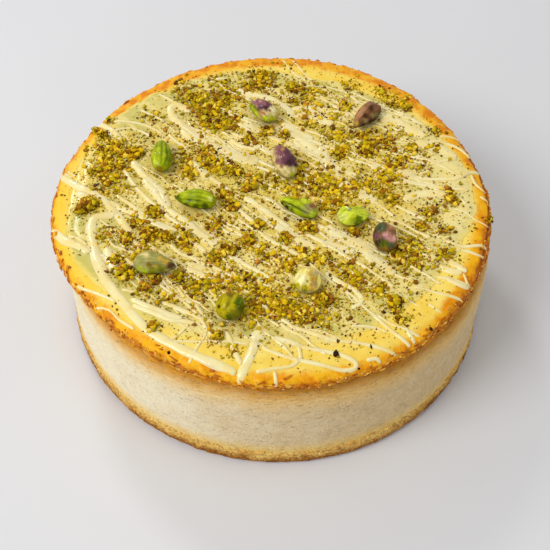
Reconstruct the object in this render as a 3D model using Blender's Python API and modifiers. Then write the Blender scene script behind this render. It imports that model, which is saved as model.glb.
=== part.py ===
"""A whole baked cheesecake: biscuit base, baked filling, pistachio glaze and whole pistachio kernels.

Metres, +Z up. The origin is the middle of the underside, and -Y is the front.
The glaze carries its cream drizzle and its chopped nuts, which are joined to it.
"""

import math
import random

import bmesh
import bpy
from mathutils import Matrix, Vector, noise

MM = 0.001

# Driving dimensions
RIM_RADIUS = 99 * MM
CAKE_HEIGHT = 65 * MM
BASE_THICKNESS = 7.5 * MM
GLAZE_THICKNESS = 1.1 * MM
CLEARANCE = 0.3 * MM
GLAZE_LIFT = 0.45 * MM

# The filling's half-section, from the middle of its top to its foot
MIDDLE_HEIGHT = CAKE_HEIGHT - 2.2 * MM
CREST_RADIUS = RIM_RADIUS - 7 * MM
EDGE_HEIGHT = CAKE_HEIGHT - 4.2 * MM
NECK_RADIUS = RIM_RADIUS - 0.9 * MM
NECK_HEIGHT = CAKE_HEIGHT - 8.5 * MM
WALL_RADIUS = RIM_RADIUS - 0.3 * MM
FOOT_RADIUS = RIM_RADIUS + 0.3 * MM
FOOT_CORNER = 1.5 * MM

# How uneven the baked cake is: the wall stands a little off the middle, the rim has its own
# outline, given as its radius every 20 degrees from +X, anticlockwise, and its lip is ragged
WALL_SHIFT = Vector((0.9 * MM, -0.9 * MM, 0))
RIM_RADII = (98, 97.5, 98.5, 99.8, 100.2, 99.4, 98.8, 99, 100, 102, 101.2, 97.8, 96.8, 97.6, 98,
             97.6, 96.8, 96.8)
LIP_CRAG = 0.7 * MM
BASE_CRAG = 0.6 * MM
TOP_SWELL = 0.35 * MM

# The glaze's edge, as its radius every 20 degrees from +X, anticlockwise
GLAZE_RADII = (87, 84, 84, 84, 84, 87, 91, 94, 92, 88, 93, 91, 84, 81, 80, 79, 80, 83)

# Thick strands of drizzle: width, then points on the top, in millimetres
STRANDS = (
    (4.0, ((-97, 11), (-90, 7), (-82, 1), (-76, -4), (-70, -11), (-65, -20))),
    (5.0, ((-71, -9), (-79, -8), (-84, -12), (-83, -21), (-78, -33), (-72, -46), (-64, -58),
           (-56, -69), (-48, -77), (-38, -85), (-26, -91), (-15, -95))),
    (4.2, ((-97, -22), (-91, -27), (-84, -32), (-78, -36))),
    (5.2, ((-2, -69), (-5, -76), (-8, -84), (-11, -91), (-13, -98), (-13.5, -103))),
    (2.6, ((-20, -73), (-17, -81), (-13, -90))),
    (2.4, ((-11, -93), (-5, -91), (2, -89), (8, -85), (11, -80), (10, -74))),
    (3.0, ((10, -84), (19, -87), (28, -88), (33, -86), (33, -81), (25, -78), (14, -74), (4, -70))),
    (3.0, ((94, 20), (88, 19), (81, 16), (73, 14), (62, 16))),
    (5.0, ((56, 1), (64, 5), (73, 7), (79, 6))),
    (4.4, ((-46, 60), (-52, 60), (-51, 53), (-44, 46), (-36, 41), (-28, 36), (-18, 31))),
    (3.8, ((-67, 22), (-65, 16), (-60, 9), (-53, 3), (-50, -6), (-45, -12), (-38, -17), (-27, -26))),
    (4.0, ((-16, 2), (-8, -4), (0, -12), (7, -19), (14, -25))),
    (3.0, ((-19, 74), (-13, 72), (-5, 71), (3, 68))),
    (6.0, ((12, 60), (20, 58), (31, 56))),
    (3.4, ((2, 53), (7, 48), (13, 42), (18, 36))),
    (3.0, ((94, -24), (87, -23), (80, -25), (72, -28))),
    (5.0, ((18, -20), (27, -25), (38, -31))),
    (3.0, ((24, -36), (35, -43), (50, -50))),
)
STRAND_HEIGHT_SHARE = 0.72
STRAND_SINK = 0.6 * MM
STRAND_STEP = 6.5 * MM
STRAND_END_WIDTH = 0.45

# Heaps of chopped nut: x, y, spread, number of large pieces
HEAPS = (
    (-12, 81, 9, 7), (8, 77, 5, 3), (-37, 59, 11, 7), (-28, 46, 8, 3), (-71, 30, 9, 5),
    (-77, 14, 7, 4), (-59, -26, 8, 5), (-45, -25, 4, 1), (-65, -46, 7, 3), (-33, 24, 9, 3),
    (14, 11, 14, 6), (-19, -7, 7, 3), (-2, 43, 6, 3), (44, 36, 9, 7), (53, 20, 12, 3),
    (54, 73, 8, 4), (65, -15, 4, 1), (60, -32, 10, 7), (20, -58, 6, 5), (-4, -59, 8, 3),
    (-30, -37, 10, 4), (-11, -26, 6, 3), (-37, -54, 9, 4), (76, 3, 5, 3), (28, 29, 6, 3),
)
NUT_SIZES = (1.5 * MM, 2.6 * MM)
NUT_SEED = 11

# The two heaps that lie on the bare skin, beyond the glaze: x, y, spread, number of pieces
SKIN_HEAPS = ((-95, -5, 2.4, 3), (91, -6, 2.0, 2))

# Whole kernels: x, y, length, width, height in millimetres, heading of the tip and lean in degrees
KERNELS = (
    (-8, 55, 19, 10.5, 8.5, 131, 6),
    (43.5, 53, 19, 9.5, 9, 53, -8),
    (-54, 23, 18.5, 9.5, 8, 95, 4),
    (3, 21, 20, 10.5, 8.5, 108, 3),
    (-35.5, -4, 18.5, 10, 8, 168, 3),
    (10, -7, 19.5, 9, 7, 150, 2),
    (36, -12, 14, 11.5, 8, 60, 0),
    (49, -24, 16.5, 10.5, 8.5, 92, 3),
    (-52, -43.5, 18.5, 11.5, 7.5, -6, 2),
    (14.5, -49, 13.5, 11, 8, 72, 4),
    (-18, -65.5, 14, 11, 10, 70, 8),
)
KERNEL_ELBOW = 1.6 * MM

# Fineness of the faceted solids
TURNS = 108
BASE_TURNS = 90
GLAZE_TURNS = 66
GLAZE_RINGS = (0.0, 0.4, 0.68, 0.84, 0.93)
SECTION_SIDES = 220
TOP_COLLECTION = "baked_cheesecake"

BISCUIT = (0.44, 0.25, 0.08)
BAKED_FILLING = (0.80, 0.58, 0.32)
PALE_GLAZE = (0.72, 0.60, 0.24)
GREEN_NUT = (0.26, 0.36, 0.05)
PURPLE_NUT = (0.25, 0.13, 0.15)


def clear_scene():
    for obj in list(bpy.data.objects):
        bpy.data.objects.remove(obj)


def smooth_step(value):
    value = min(1.0, max(0.0, value))
    return value * value * (3 - 2 * value)


def half_section(top_steps, shoulder_steps, wall_steps):
    """Radius and height along the filling, from the middle of the top over the lip to the foot."""
    points = []
    for k in range(top_steps):
        share = (k / top_steps) ** 0.6
        rise = smooth_step((share - 0.7) / 0.3)
        points.append((CREST_RADIUS * share, MIDDLE_HEIGHT + (CAKE_HEIGHT - MIDDLE_HEIGHT) * rise))
    for k in range(shoulder_steps + 1):
        angle = math.radians(90 - 90 * k / shoulder_steps)
        reach = (RIM_RADIUS - CREST_RADIUS) * math.cos(angle)
        rise = (CAKE_HEIGHT - EDGE_HEIGHT) * math.sin(angle)
        points.append((CREST_RADIUS + reach, EDGE_HEIGHT + rise))
    lip_under = (RIM_RADIUS - 0.5 * MM, EDGE_HEIGHT - 1.8 * MM)
    points.append(lip_under)
    foot_z = BASE_THICKNESS + CLEARANCE
    for k in range(wall_steps + 1):
        share = k / wall_steps
        height = NECK_HEIGHT + (foot_z + FOOT_CORNER - NECK_HEIGHT) * share
        low = WALL_RADIUS + (FOOT_RADIUS - WALL_RADIUS) * share
        points.append((NECK_RADIUS + (low - NECK_RADIUS) * smooth_step(share * 2), height))
    points.append((FOOT_RADIUS - FOOT_CORNER, foot_z))
    points.append((0.0, foot_z))
    return points


def arc_table(points):
    """Distance travelled along the section up to each of its points."""
    lengths = [0.0]
    for (r0, z0), (r1, z1) in zip(points, points[1:]):
        lengths.append(lengths[-1] + math.hypot(r1 - r0, z1 - z0))
    return lengths


FINE_SECTION = half_section(SECTION_SIDES, 40, 20)
FINE_LENGTHS = arc_table(FINE_SECTION)


def on_section(distance):
    """Point and outward normal of the filling's section, that far from the middle of the top."""
    low, high = 0, len(FINE_LENGTHS) - 2
    while low < high:
        middle = (low + high + 1) // 2
        if FINE_LENGTHS[middle] <= distance:
            low = middle
        else:
            high = middle - 1
    (r0, z0), (r1, z1) = FINE_SECTION[low], FINE_SECTION[low + 1]
    span = FINE_LENGTHS[low + 1] - FINE_LENGTHS[low]
    share = (distance - FINE_LENGTHS[low]) / span
    along = ((r1 - r0) / span, (z1 - z0) / span)
    return r0 + (r1 - r0) * share, z0 + (z1 - z0) * share, -along[1], along[0]


def outline(radii, x, y):
    """Radius in the direction of (x, y) of the smooth outline through radii in millimetres."""
    share = (math.atan2(y, x) % math.tau) / math.tau * len(radii)
    first = int(share)
    before, here, after, beyond = (radii[(first + k) % len(radii)] * MM for k in (-1, 0, 1, 2))
    t = share - first
    bend = 2 * before - 5 * here + 4 * after - beyond
    twist = 3 * (here - after) + beyond - before
    return 0.5 * (2 * here + (after - before) * t + bend * t**2 + twist * t**3)


def unevenness(point):
    """Where a point of the even, turned cake lies on the uneven one."""
    radius = math.hypot(point.x, point.y)
    rim_share = smooth_step((point.z - NECK_HEIGHT + 7 * MM) / (10 * MM))
    rim_spread = outline(RIM_RADII, point.x, point.y) / RIM_RADIUS - 1
    spread = 1 + rim_spread * rim_share
    swell = TOP_SWELL * noise.noise(Vector((point.x, point.y, 0)) / (45 * MM))
    lift = swell * rim_share * smooth_step((RIM_RADIUS - radius) / (20 * MM))
    moved = Vector((point.x * spread, point.y * spread, point.z + lift))
    return moved + WALL_SHIFT * (1 - rim_share)


def wrap(x, y, height):
    """A point laid on the cake's top and bent over its lip: x and y are measured along the skin."""
    distance = math.hypot(x, y)
    theta = math.atan2(y, x)
    r, z, out, up = on_section(distance)
    r += out * height
    z += up * height
    return unevenness(Vector((r * math.cos(theta), r * math.sin(theta), z)))


def material(name, colour, roughness):
    made = bpy.data.materials.new(name)
    made.use_nodes = True
    shader = made.node_tree.nodes["Principled BSDF"]
    shader.inputs["Base Color"].default_value = (*colour, 1)
    shader.inputs["Roughness"].default_value = roughness
    return made


def new_object(name, mesh, collection, finish=None):
    obj = bpy.data.objects.new(name, mesh)
    collection.objects.link(obj)
    if finish:
        mesh.materials.append(finish)
    return obj


def new_collection(name):
    made = bpy.data.collections.new(name)
    bpy.context.scene.collection.children.link(made)
    return made


def turned_mesh(name, section, steps):
    """The closed mesh that a half-section, from axis to axis, makes when it is turned once."""
    mesh = bpy.data.meshes.new(name)
    edges = [(k, k + 1) for k in range(len(section) - 1)]
    mesh.from_pydata([(r, 0, z) for r, z in section], edges, [])
    lathe = new_object(name + "_lathe", mesh, bpy.context.scene.collection)
    screw = lathe.modifiers.new("turn", "SCREW")
    screw.steps = screw.render_steps = steps
    screw.use_merge_vertices = True
    screw.merge_threshold = 0.00001
    screw.use_smooth_shade = True
    return take_mesh(lathe, name)


def take_mesh(obj, name):
    """The object's evaluated mesh with its seams welded; the object itself is removed."""
    bpy.context.view_layer.update()
    graph = bpy.context.evaluated_depsgraph_get()
    mesh = bpy.data.meshes.new_from_object(obj.evaluated_get(graph))
    mesh.name = name
    bpy.data.objects.remove(obj)
    work = bmesh.new()
    work.from_mesh(mesh)
    bmesh.ops.remove_doubles(work, verts=work.verts, dist=0.000005)
    bmesh.ops.recalc_face_normals(work, faces=work.faces)
    work.to_mesh(mesh)
    work.free()
    return mesh


def ragged(point, band_middle, band_half, depth, pitch):
    """Pushes a point of the wall in or out, most at the middle of a band of heights."""
    share = 1 - abs(point.z - band_middle) / band_half
    if share <= 0 or math.hypot(point.x, point.y) < RIM_RADIUS * 0.8:
        return point
    push = noise.noise(point / pitch) * 2 * depth * smooth_step(share * 1.5)
    outward = Vector((point.x, point.y, 0)).normalized()
    return point + outward * push


def build_filling(collection):
    mesh = turned_mesh("cheesecake", half_section(5, 5, 3), TURNS)
    for vertex in mesh.vertices:
        point = unevenness(vertex.co)
        vertex.co = ragged(point, EDGE_HEIGHT - 1 * MM, 4 * MM, LIP_CRAG, 4 * MM)
    return new_object("cheesecake", mesh, collection, material("baked filling", BAKED_FILLING, 0.55))


def build_base(collection):
    """The biscuit layer under the filling: a disc with a crumbly wall."""
    radius = FOOT_RADIUS - 0.2 * MM
    section = [
        (0.0, BASE_THICKNESS),
        (radius - 1.0 * MM, BASE_THICKNESS),
        (radius, BASE_THICKNESS - 1.2 * MM),
        (radius + 0.3 * MM, BASE_THICKNESS * 0.5),
        (radius, 1.0 * MM),
        (radius - 1.4 * MM, 0.0),
        (0.0, 0.0),
    ]
    mesh = turned_mesh("biscuit_base", section, BASE_TURNS)
    for vertex in mesh.vertices:
        point = ragged(vertex.co, BASE_THICKNESS * 0.5, BASE_THICKNESS * 0.49, BASE_CRAG, 3 * MM)
        vertex.co = point + WALL_SHIFT
    return new_object("biscuit_base", mesh, collection, material("biscuit", BISCUIT, 0.9))


def glaze_sheet(collection):
    """The poured layer, thick enough to see at its edge, GLAZE_LIFT above the skin."""
    edge = [(1 - 0.022, GLAZE_THICKNESS), (1.0, GLAZE_THICKNESS * 0.5), (1 - 0.010, 0.0)]
    upper = [(share, GLAZE_THICKNESS) for share in GLAZE_RINGS]
    lower = [(share, 0.0) for share in reversed(GLAZE_RINGS)]
    mesh = turned_mesh("glaze", upper + edge + lower, GLAZE_TURNS)
    for vertex in mesh.vertices:
        x, y, height = vertex.co
        radius = outline(GLAZE_RADII, x, y)
        vertex.co = wrap(x * radius, y * radius, GLAZE_LIFT + height)
    return new_object("glaze", mesh, collection, material("pale glaze", PALE_GLAZE, 0.3))


def curve_point(points, share):
    """Smooth path through the points, with share from 0 to 1 along it."""
    spans = len(points) - 1
    first = min(int(share * spans), spans - 1)
    t = share * spans - first
    near = [points[min(max(first + k, 0), spans)] for k in (-1, 0, 1, 2)]
    weights = (-t**3 + 2 * t**2 - t, 3 * t**3 - 5 * t**2 + 2, -3 * t**3 + 4 * t**2 + t, t**3 - t**2)
    return tuple(sum(w * p[axis] for w, p in zip(weights, near)) / 2 * MM for axis in (0, 1))


def kernel_near(x, y, margin):
    """True if a point of the top lies under a whole kernel, or within margin of one."""
    for kx, ky, length, width, _, heading, _ in KERNELS:
        turn = math.radians(heading)
        dx, dy = x - kx * MM, y - ky * MM
        along = dx * math.cos(turn) + dy * math.sin(turn)
        across = dy * math.cos(turn) - dx * math.sin(turn)
        half_length, half_width = length * MM / 2 + margin, width * MM / 2 + margin
        if (along / half_length) ** 2 + (across / half_width) ** 2 < 1:
            return True
    return False


def clear_runs(points, margin):
    """The path's points, cut into the runs that keep clear of every kernel."""
    run = []
    for point in points:
        if kernel_near(*point, margin):
            if len(run) > 2:
                yield run
            run = []
        else:
            run.append(point)
    if len(run) > 2:
        yield run


def strand_mesh(name, run, width):
    """One flattened string of drizzle along a run of points, laid on the glaze."""
    curve = bpy.data.curves.new(name, "CURVE")
    curve.dimensions = "3D"
    curve.bevel_depth = width / 2
    curve.bevel_resolution = 1
    curve.use_fill_caps = True
    spline = curve.splines.new("POLY")
    spline.points.add(len(run) - 1)
    last = len(run) - 1
    for k, (x, y) in enumerate(run):
        spline.points[k].co = (x, y, 0, 1)
        near_end = min(k, last - k)
        spline.points[k].radius = STRAND_END_WIDTH if near_end == 0 else 1.0
    string = bpy.data.objects.new(name, curve)
    bpy.context.scene.collection.objects.link(string)
    mesh = take_mesh(string, name)
    middle = GLAZE_LIFT + GLAZE_THICKNESS
    for vertex in mesh.vertices:
        x, y, height = vertex.co
        over_lip = LIP_CRAG * smooth_step((math.hypot(x, y) - CREST_RADIUS) / (6 * MM))
        rise = STRAND_HEIGHT_SHARE if height > 0 else STRAND_SINK / (width / 2)
        vertex.co = wrap(x, y, middle + over_lip + height * rise)
    return mesh


def add_strands(collection):
    for number, (width, points) in enumerate(STRANDS):
        length = sum(math.dist(a, b) for a, b in zip(points, points[1:])) * MM
        count = max(4, round(length / STRAND_STEP))
        path = [curve_point(points, k / count) for k in range(count + 1)]
        for part, run in enumerate(clear_runs(path, (width / 2 + 0.8) * MM)):
            name = f"strand_{number}_{part}"
            new_object(name, strand_mesh(name, run, width * MM), collection)


def nut_mesh(name, size, draw):
    """One chopped piece: a rough lump of twenty facets about the origin."""
    work = bmesh.new()
    bmesh.ops.create_icosphere(work, subdivisions=1, radius=size / 2)
    stretch = Vector((draw.uniform(0.8, 1.35), draw.uniform(0.75, 1.1), draw.uniform(0.8, 1.0)))
    turn = Matrix.Rotation(draw.uniform(0, math.tau), 3, "Z")
    for vertex in work.verts:
        vertex.co = turn @ (vertex.co * stretch * draw.uniform(0.85, 1.15))
    mesh = bpy.data.meshes.new(name)
    work.to_mesh(mesh)
    work.free()
    return mesh


def scattered(heaps, draw, spacing):
    """Places for chopped pieces, drawn round each heap's middle and kept apart."""
    placed = []
    for x, y, spread, count in heaps:
        made = 0
        for _ in range(count * 40):
            px = draw.gauss(x, spread * 0.6) * MM
            py = draw.gauss(y, spread * 0.6) * MM
            apart = all(math.hypot(px - qx, py - qy) > spacing for qx, qy in placed)
            if apart and not kernel_near(px, py, 2.6 * MM):
                placed.append((px, py))
                made += 1
            if made == count:
                break
    return placed


def add_nuts(collection, places, draw, floor_height):
    for number, (x, y) in enumerate(places):
        size = draw.uniform(*NUT_SIZES)
        mesh = nut_mesh(f"nut_{number}", size, draw)
        ground = wrap(x, y, floor_height + size * 0.2)
        obj = new_object(f"nut_{number}", mesh, collection)
        mesh.transform(Matrix.Translation(ground))


def fuse(target, collection):
    """Joins everything in the collection to the target as one solid, and empties the collection."""
    union = target.modifiers.new("fuse", "BOOLEAN")
    union.operation = "UNION"
    union.operand_type = "COLLECTION"
    union.collection = collection
    union.solver = "MANIFOLD"
    bpy.context.view_layer.objects.active = target
    with bpy.context.temp_override(object=target, active_object=target):
        bpy.ops.object.modifier_apply(modifier=union.name)
    for obj in list(collection.objects):
        bpy.data.objects.remove(obj)
    bpy.data.collections.remove(collection)


def build_glaze(collection):
    glaze = glaze_sheet(collection)
    toppings = new_collection("glaze_toppings")
    draw = random.Random(NUT_SEED)
    add_strands(toppings)
    inside = [p for p in scattered(HEAPS, draw, NUT_SIZES[1] + 0.3 * MM)
              if math.hypot(*p) < outline(GLAZE_RADII, *p) - 3 * MM]
    add_nuts(toppings, inside, draw, GLAZE_LIFT + GLAZE_THICKNESS)
    fuse(glaze, toppings)
    glaze.data.shade_flat()
    return glaze


def add_skin_nuts(filling):
    """The few lumps that lie on the bare skin, joined to the filling."""
    lumps = new_collection("skin_toppings")
    draw = random.Random(NUT_SEED + 1)
    bare = [p for p in scattered(SKIN_HEAPS, draw, NUT_SIZES[0])
            if math.hypot(*p) > outline(GLAZE_RADII, *p) + 2.2 * MM]
    add_nuts(lumps, bare, draw, 0.0)
    fuse(filling, lumps)


def build_kernel(number, spec, collection, finish):
    """A whole kernel: a teardrop with a flattened section, a bent back and a seam along its top."""
    x, y, length, width, height, heading, lean = spec
    work = bmesh.new()
    bmesh.ops.create_uvsphere(work, u_segments=12, v_segments=8, radius=1)
    upright_to_lying = Matrix.Rotation(math.radians(90), 3, "Y")
    for vertex in work.verts:
        along, across, up = upright_to_lying @ vertex.co
        girth = 1 - 0.26 * along
        seam = 0.12 * math.exp(-(across / 0.22) ** 2) * smooth_step(up * 2)
        vertex.co = Vector((
            along * length * MM / 2,
            across * girth * width * MM / 2,
            (up * girth - seam) * height * MM / 2 - KERNEL_ELBOW * along * along * 0.5,
        ))
    turn = Matrix.Rotation(math.radians(heading), 3, "Z") @ Matrix.Rotation(math.radians(lean), 3, "Y")
    for vertex in work.verts:
        vertex.co = turn @ vertex.co
    lowest = min(v.co.z for v in work.verts)
    mesh = bpy.data.meshes.new(f"pistachio_{number:02d}")
    work.to_mesh(mesh)
    work.free()
    seat = highest_glaze_under(x * MM, y * MM, length * MM / 2)
    obj = new_object(mesh.name, mesh, collection, finish)
    mesh.transform(Matrix.Translation((*seat.xy, seat.z + CLEARANCE - lowest)))
    mesh.shade_smooth()
    return obj


def highest_glaze_under(x, y, reach):
    """The place on the glaze under (x, y), raised to the highest glaze within reach of it."""
    surface = GLAZE_LIFT + GLAZE_THICKNESS
    middle = wrap(x, y, surface)
    around = [wrap(x + reach * math.cos(a), y + reach * math.sin(a), surface)
              for a in (k * math.tau / 12 for k in range(12))]
    middle.z = max(point.z for point in [middle, *around])
    return middle


def build_cake():
    clear_scene()
    cake = new_collection(TOP_COLLECTION)
    build_base(cake)
    filling = build_filling(cake)
    add_skin_nuts(filling)
    build_glaze(cake)
    green = material("green kernel", GREEN_NUT, 0.45)
    purple = material("purple kernel", PURPLE_NUT, 0.5)
    for number, spec in enumerate(KERNELS, start=1):
        build_kernel(number, spec, cake, purple if number in (1, 2, 4, 8) else green)


build_cake()
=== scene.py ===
# %% [markdown]
# This is a whole baked cheesecake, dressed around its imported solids, on its own biscuit base.
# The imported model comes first, because every piece below is placed in its frame, in metres.

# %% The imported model
import math
import random

import bmesh
import bpy
from mathutils import Matrix, Vector, noise


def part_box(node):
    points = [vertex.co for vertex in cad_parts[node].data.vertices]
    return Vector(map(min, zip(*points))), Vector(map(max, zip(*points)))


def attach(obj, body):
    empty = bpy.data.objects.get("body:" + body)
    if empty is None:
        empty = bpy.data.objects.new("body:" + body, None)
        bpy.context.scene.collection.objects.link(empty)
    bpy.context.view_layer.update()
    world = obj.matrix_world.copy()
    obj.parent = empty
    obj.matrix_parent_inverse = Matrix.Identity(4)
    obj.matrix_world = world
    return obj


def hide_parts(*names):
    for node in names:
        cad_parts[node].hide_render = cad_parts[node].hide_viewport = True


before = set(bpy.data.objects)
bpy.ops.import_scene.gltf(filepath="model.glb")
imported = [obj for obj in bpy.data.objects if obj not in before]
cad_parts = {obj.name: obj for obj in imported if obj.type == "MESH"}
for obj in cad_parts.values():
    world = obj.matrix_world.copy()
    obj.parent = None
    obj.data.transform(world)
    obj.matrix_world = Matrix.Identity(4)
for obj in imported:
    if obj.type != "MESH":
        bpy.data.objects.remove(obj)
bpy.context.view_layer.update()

MM = 0.001
scene = bpy.context.scene
scene.view_settings.view_transform = "Standard"
print("solids:", ", ".join(sorted(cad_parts)))

# %% [markdown]
# The photograph looks down on the cake at about 52 degrees from half a metre away. The camera's
# place and lens were fitted to the rim and foot, so that pieces traced on the top fall into place.

# %% Camera
VIEW_HEIGHT = math.radians(51.89)
VIEW_ROLL = math.radians(1.39)
VIEW_DISTANCE = 502 * MM
LOOKED_AT = Vector((0.1 * MM, 0, 8.1 * MM))
SENSOR = 36
FOCAL_PIXELS = 1000
FRAME_PIXELS = 550

camera = bpy.data.objects.new("camera", bpy.data.cameras.new("camera"))
scene.collection.objects.link(camera)
camera.data.sensor_width = SENSOR
camera.data.lens = SENSOR * FOCAL_PIXELS / FRAME_PIXELS
back = Vector((0, -math.cos(VIEW_HEIGHT), math.sin(VIEW_HEIGHT)))
tilt = Matrix.Rotation(math.pi / 2 - VIEW_HEIGHT, 4, "X")
camera.matrix_world = (Matrix.Translation(LOOKED_AT + back * VIEW_DISTANCE) @ tilt
                       @ Matrix.Rotation(VIEW_ROLL, 4, "Z"))
scene.camera = camera
print("camera at", [round(c, 3) for c in camera.location])

# %% [markdown]
# Sums on a material read best as sums. This small class wraps one output socket, and the usual
# operators add the Math or Vector Math node that does the work. Every other node comes from
# its method `node`. Colours go through `blend`, because a Math node would turn them grey.

# %% Sums on shader sockets
class Wire:
    """One output socket of a material, with the operators that build nodes on it."""

    def __init__(self, tree, socket):
        self.tree = tree
        self.socket = socket

    def node(self, kind, settings=None, inputs=None, output=0):
        made = self.tree.nodes.new(kind)
        for name, value in (settings or {}).items():
            if name == "stops":
                ramp = made.color_ramp
                while len(ramp.elements) < len(value):
                    ramp.elements.new(0.5)
                for element, (place, colour) in zip(ramp.elements, value):
                    element.position = place
                    element.color = (*colour, 1)
            else:
                setattr(made, name, value)
        for name, value in (inputs or {}).items():
            if isinstance(value, Wire):
                self.tree.links.new(value.socket, made.inputs[name])
            else:
                made.inputs[name].default_value = value
        return Wire(self.tree, made.outputs[output])

    def work(self, operation, first, second):
        wires = [v for v in (first, second) if isinstance(v, Wire)]
        if any(w.socket.type in ("VECTOR", "RGBA") for w in wires):
            spread = [v if isinstance(v, (Wire, tuple)) else (v, v, v) for v in (first, second)]
            return self.node("ShaderNodeVectorMath", {"operation": operation}, dict(enumerate(spread)))
        return self.node("ShaderNodeMath", {"operation": operation}, {0: first, 1: second})

    def __add__(self, other):
        return self.work("ADD", self, other)

    def __sub__(self, other):
        return self.work("SUBTRACT", self, other)

    def __rsub__(self, other):
        return self.work("SUBTRACT", other, self)

    def __mul__(self, other):
        return self.work("MULTIPLY", self, other)

    def __truediv__(self, other):
        return self.work("DIVIDE", self, other)

    __radd__ = __add__
    __rmul__ = __mul__

    def length(self):
        return self.node("ShaderNodeVectorMath", {"operation": "LENGTH"}, {0: self}, 1)

    def step(self, low, high):
        """0 below low and 1 above high, smooth in between; low may be the larger of the two."""
        return self.node("ShaderNodeMapRange", {"interpolation_type": "SMOOTHSTEP"},
                         {"Value": self, "From Min": low, "From Max": high})

    def blend(self, first, second):
        """first where this is 0 and second where it is 1."""
        ends = [v if isinstance(v, Wire) else (*v, 1) for v in (first, second)]
        return self.node("ShaderNodeMix", {"data_type": "RGBA"}, {0: self, 6: ends[0], 7: ends[1]}, 2)

    def cloud(self, size, detail=3.0, rough=0.55, bend=0.0):
        """Soft noise, with this as its place and size in the same unit."""
        return self.node("ShaderNodeTexNoise", {}, {
            "Vector": self, "Scale": 1 / size, "Detail": detail, "Roughness": rough, "Distortion": bend})

    def cells(self, size):
        """Distance to the nearest of many scattered points, in cell widths."""
        return self.node("ShaderNodeTexVoronoi", {}, {"Vector": self, "Scale": 1 / size, "Randomness": 1.0})


def srgb(red, green, blue):
    """A colour in screen values from 0 to 255, as the linear values that a shader wants."""
    parts = [c / 255 for c in (red, green, blue)]
    return tuple(c / 12.92 if c <= 0.04045 else ((c + 0.055) / 1.055) ** 2.4 for c in parts)


def new_material(name):
    """An empty material, and its place on the object in millimetres."""
    made = bpy.data.materials.new(name)
    made.use_nodes = True
    tree = made.node_tree
    start = Wire(tree, None)
    return made, start.node("ShaderNodeTexCoord", output=3) * 1000


def finish_material(made, colour, roughness, height=None, depth=0.0, **fixed):
    """Joins the worked-out colour, roughness and height to the shader; depth is in millimetres."""
    tree = made.node_tree
    shader = tree.nodes["Principled BSDF"]
    for name, value in (("Base Color", colour), ("Roughness", roughness)):
        if isinstance(value, Wire):
            tree.links.new(value.socket, shader.inputs[name])
        else:
            shader.inputs[name].default_value = value if name == "Roughness" else (*value, 1)
    if height:
        bump = height.node("ShaderNodeBump", {}, {"Height": height, "Distance": depth * MM})
        tree.links.new(bump.socket, shader.inputs["Normal"])
    for name, value in fixed.items():
        shader.inputs[name.replace("_", " ")].default_value = value
    return made


def soft(weight, red, green, blue):
    """Settings for light that sinks in, and how far each colour of it goes, in millimetres."""
    reach = (red * MM, green * MM, blue * MM)
    return {"Subsurface_Weight": weight, "Subsurface_Radius": reach, "Subsurface_Scale": 1.0}


# %% [markdown]
# The cake isn't a true disc. Its rim has an outline of its own, given by radii all round, and the
# wall below stands a little to one side. The next cell repeats the solids' turned section, so
# that each finer surface lies on them, and `wrap` lays flat points over the top and its lip.

# %% The cake's section and how things are laid on it
RIM_RADIUS = 99 * MM
CAKE_HEIGHT = 65 * MM
BASE_THICKNESS = 7.5 * MM
MIDDLE_HEIGHT = CAKE_HEIGHT - 2.2 * MM
CREST_RADIUS = RIM_RADIUS - 7 * MM
EDGE_HEIGHT = CAKE_HEIGHT - 4.2 * MM
NECK_RADIUS = RIM_RADIUS - 0.9 * MM
NECK_HEIGHT = CAKE_HEIGHT - 8.5 * MM
WALL_RADIUS = RIM_RADIUS - 0.3 * MM
FOOT_RADIUS = RIM_RADIUS + 0.3 * MM
WALL_SHIFT = Vector((0.9 * MM, -0.9 * MM, 0))
RIM_RADII = (98, 97.5, 98.5, 99.8, 100.2, 99.4, 98.8, 99, 100, 102, 101.2, 97.8, 96.8, 97.6, 98,
             97.6, 96.8, 96.8)
TOP_SWELL = 0.35 * MM
TOP_STEPS, SHOULDER_STEPS, WALL_STEPS = 120, 40, 60
NEAR_MIDDLE = 0.00001


def smooth_step(value):
    """0 for 0 and less, 1 for 1 and more, and an even S between them."""
    value = min(1.0, max(0.0, value))
    return value * value * (3 - 2 * value)


def half_section():
    """Radius and height along half of the turned section: top, rounded shoulder, wall."""
    points = []
    for k in range(TOP_STEPS):
        share = k / TOP_STEPS
        rise = smooth_step((share - 0.7) / 0.3)
        points.append((CREST_RADIUS * share, MIDDLE_HEIGHT + (CAKE_HEIGHT - MIDDLE_HEIGHT) * rise))
    for k in range(SHOULDER_STEPS + 1):
        angle = math.radians(90 - 90 * k / SHOULDER_STEPS)
        reach = (RIM_RADIUS - CREST_RADIUS) * math.cos(angle)
        points.append((CREST_RADIUS + reach, EDGE_HEIGHT + (CAKE_HEIGHT - EDGE_HEIGHT) * math.sin(angle)))
    points.append((RIM_RADIUS - 0.5 * MM, EDGE_HEIGHT - 1.8 * MM))
    foot = BASE_THICKNESS + 1.5 * MM
    for k in range(WALL_STEPS + 1):
        share = k / WALL_STEPS
        low = WALL_RADIUS + (FOOT_RADIUS - WALL_RADIUS) * share
        radius = NECK_RADIUS + (low - NECK_RADIUS) * smooth_step(share * 2)
        points.append((radius, NECK_HEIGHT + (foot - NECK_HEIGHT) * share))
    points.append((FOOT_RADIUS - 1.2 * MM, BASE_THICKNESS))
    return points


SECTION = half_section()
LENGTHS = [0.0]
for (r0, z0), (r1, z1) in zip(SECTION, SECTION[1:]):
    LENGTHS.append(LENGTHS[-1] + math.hypot(r1 - r0, z1 - z0))


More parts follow.
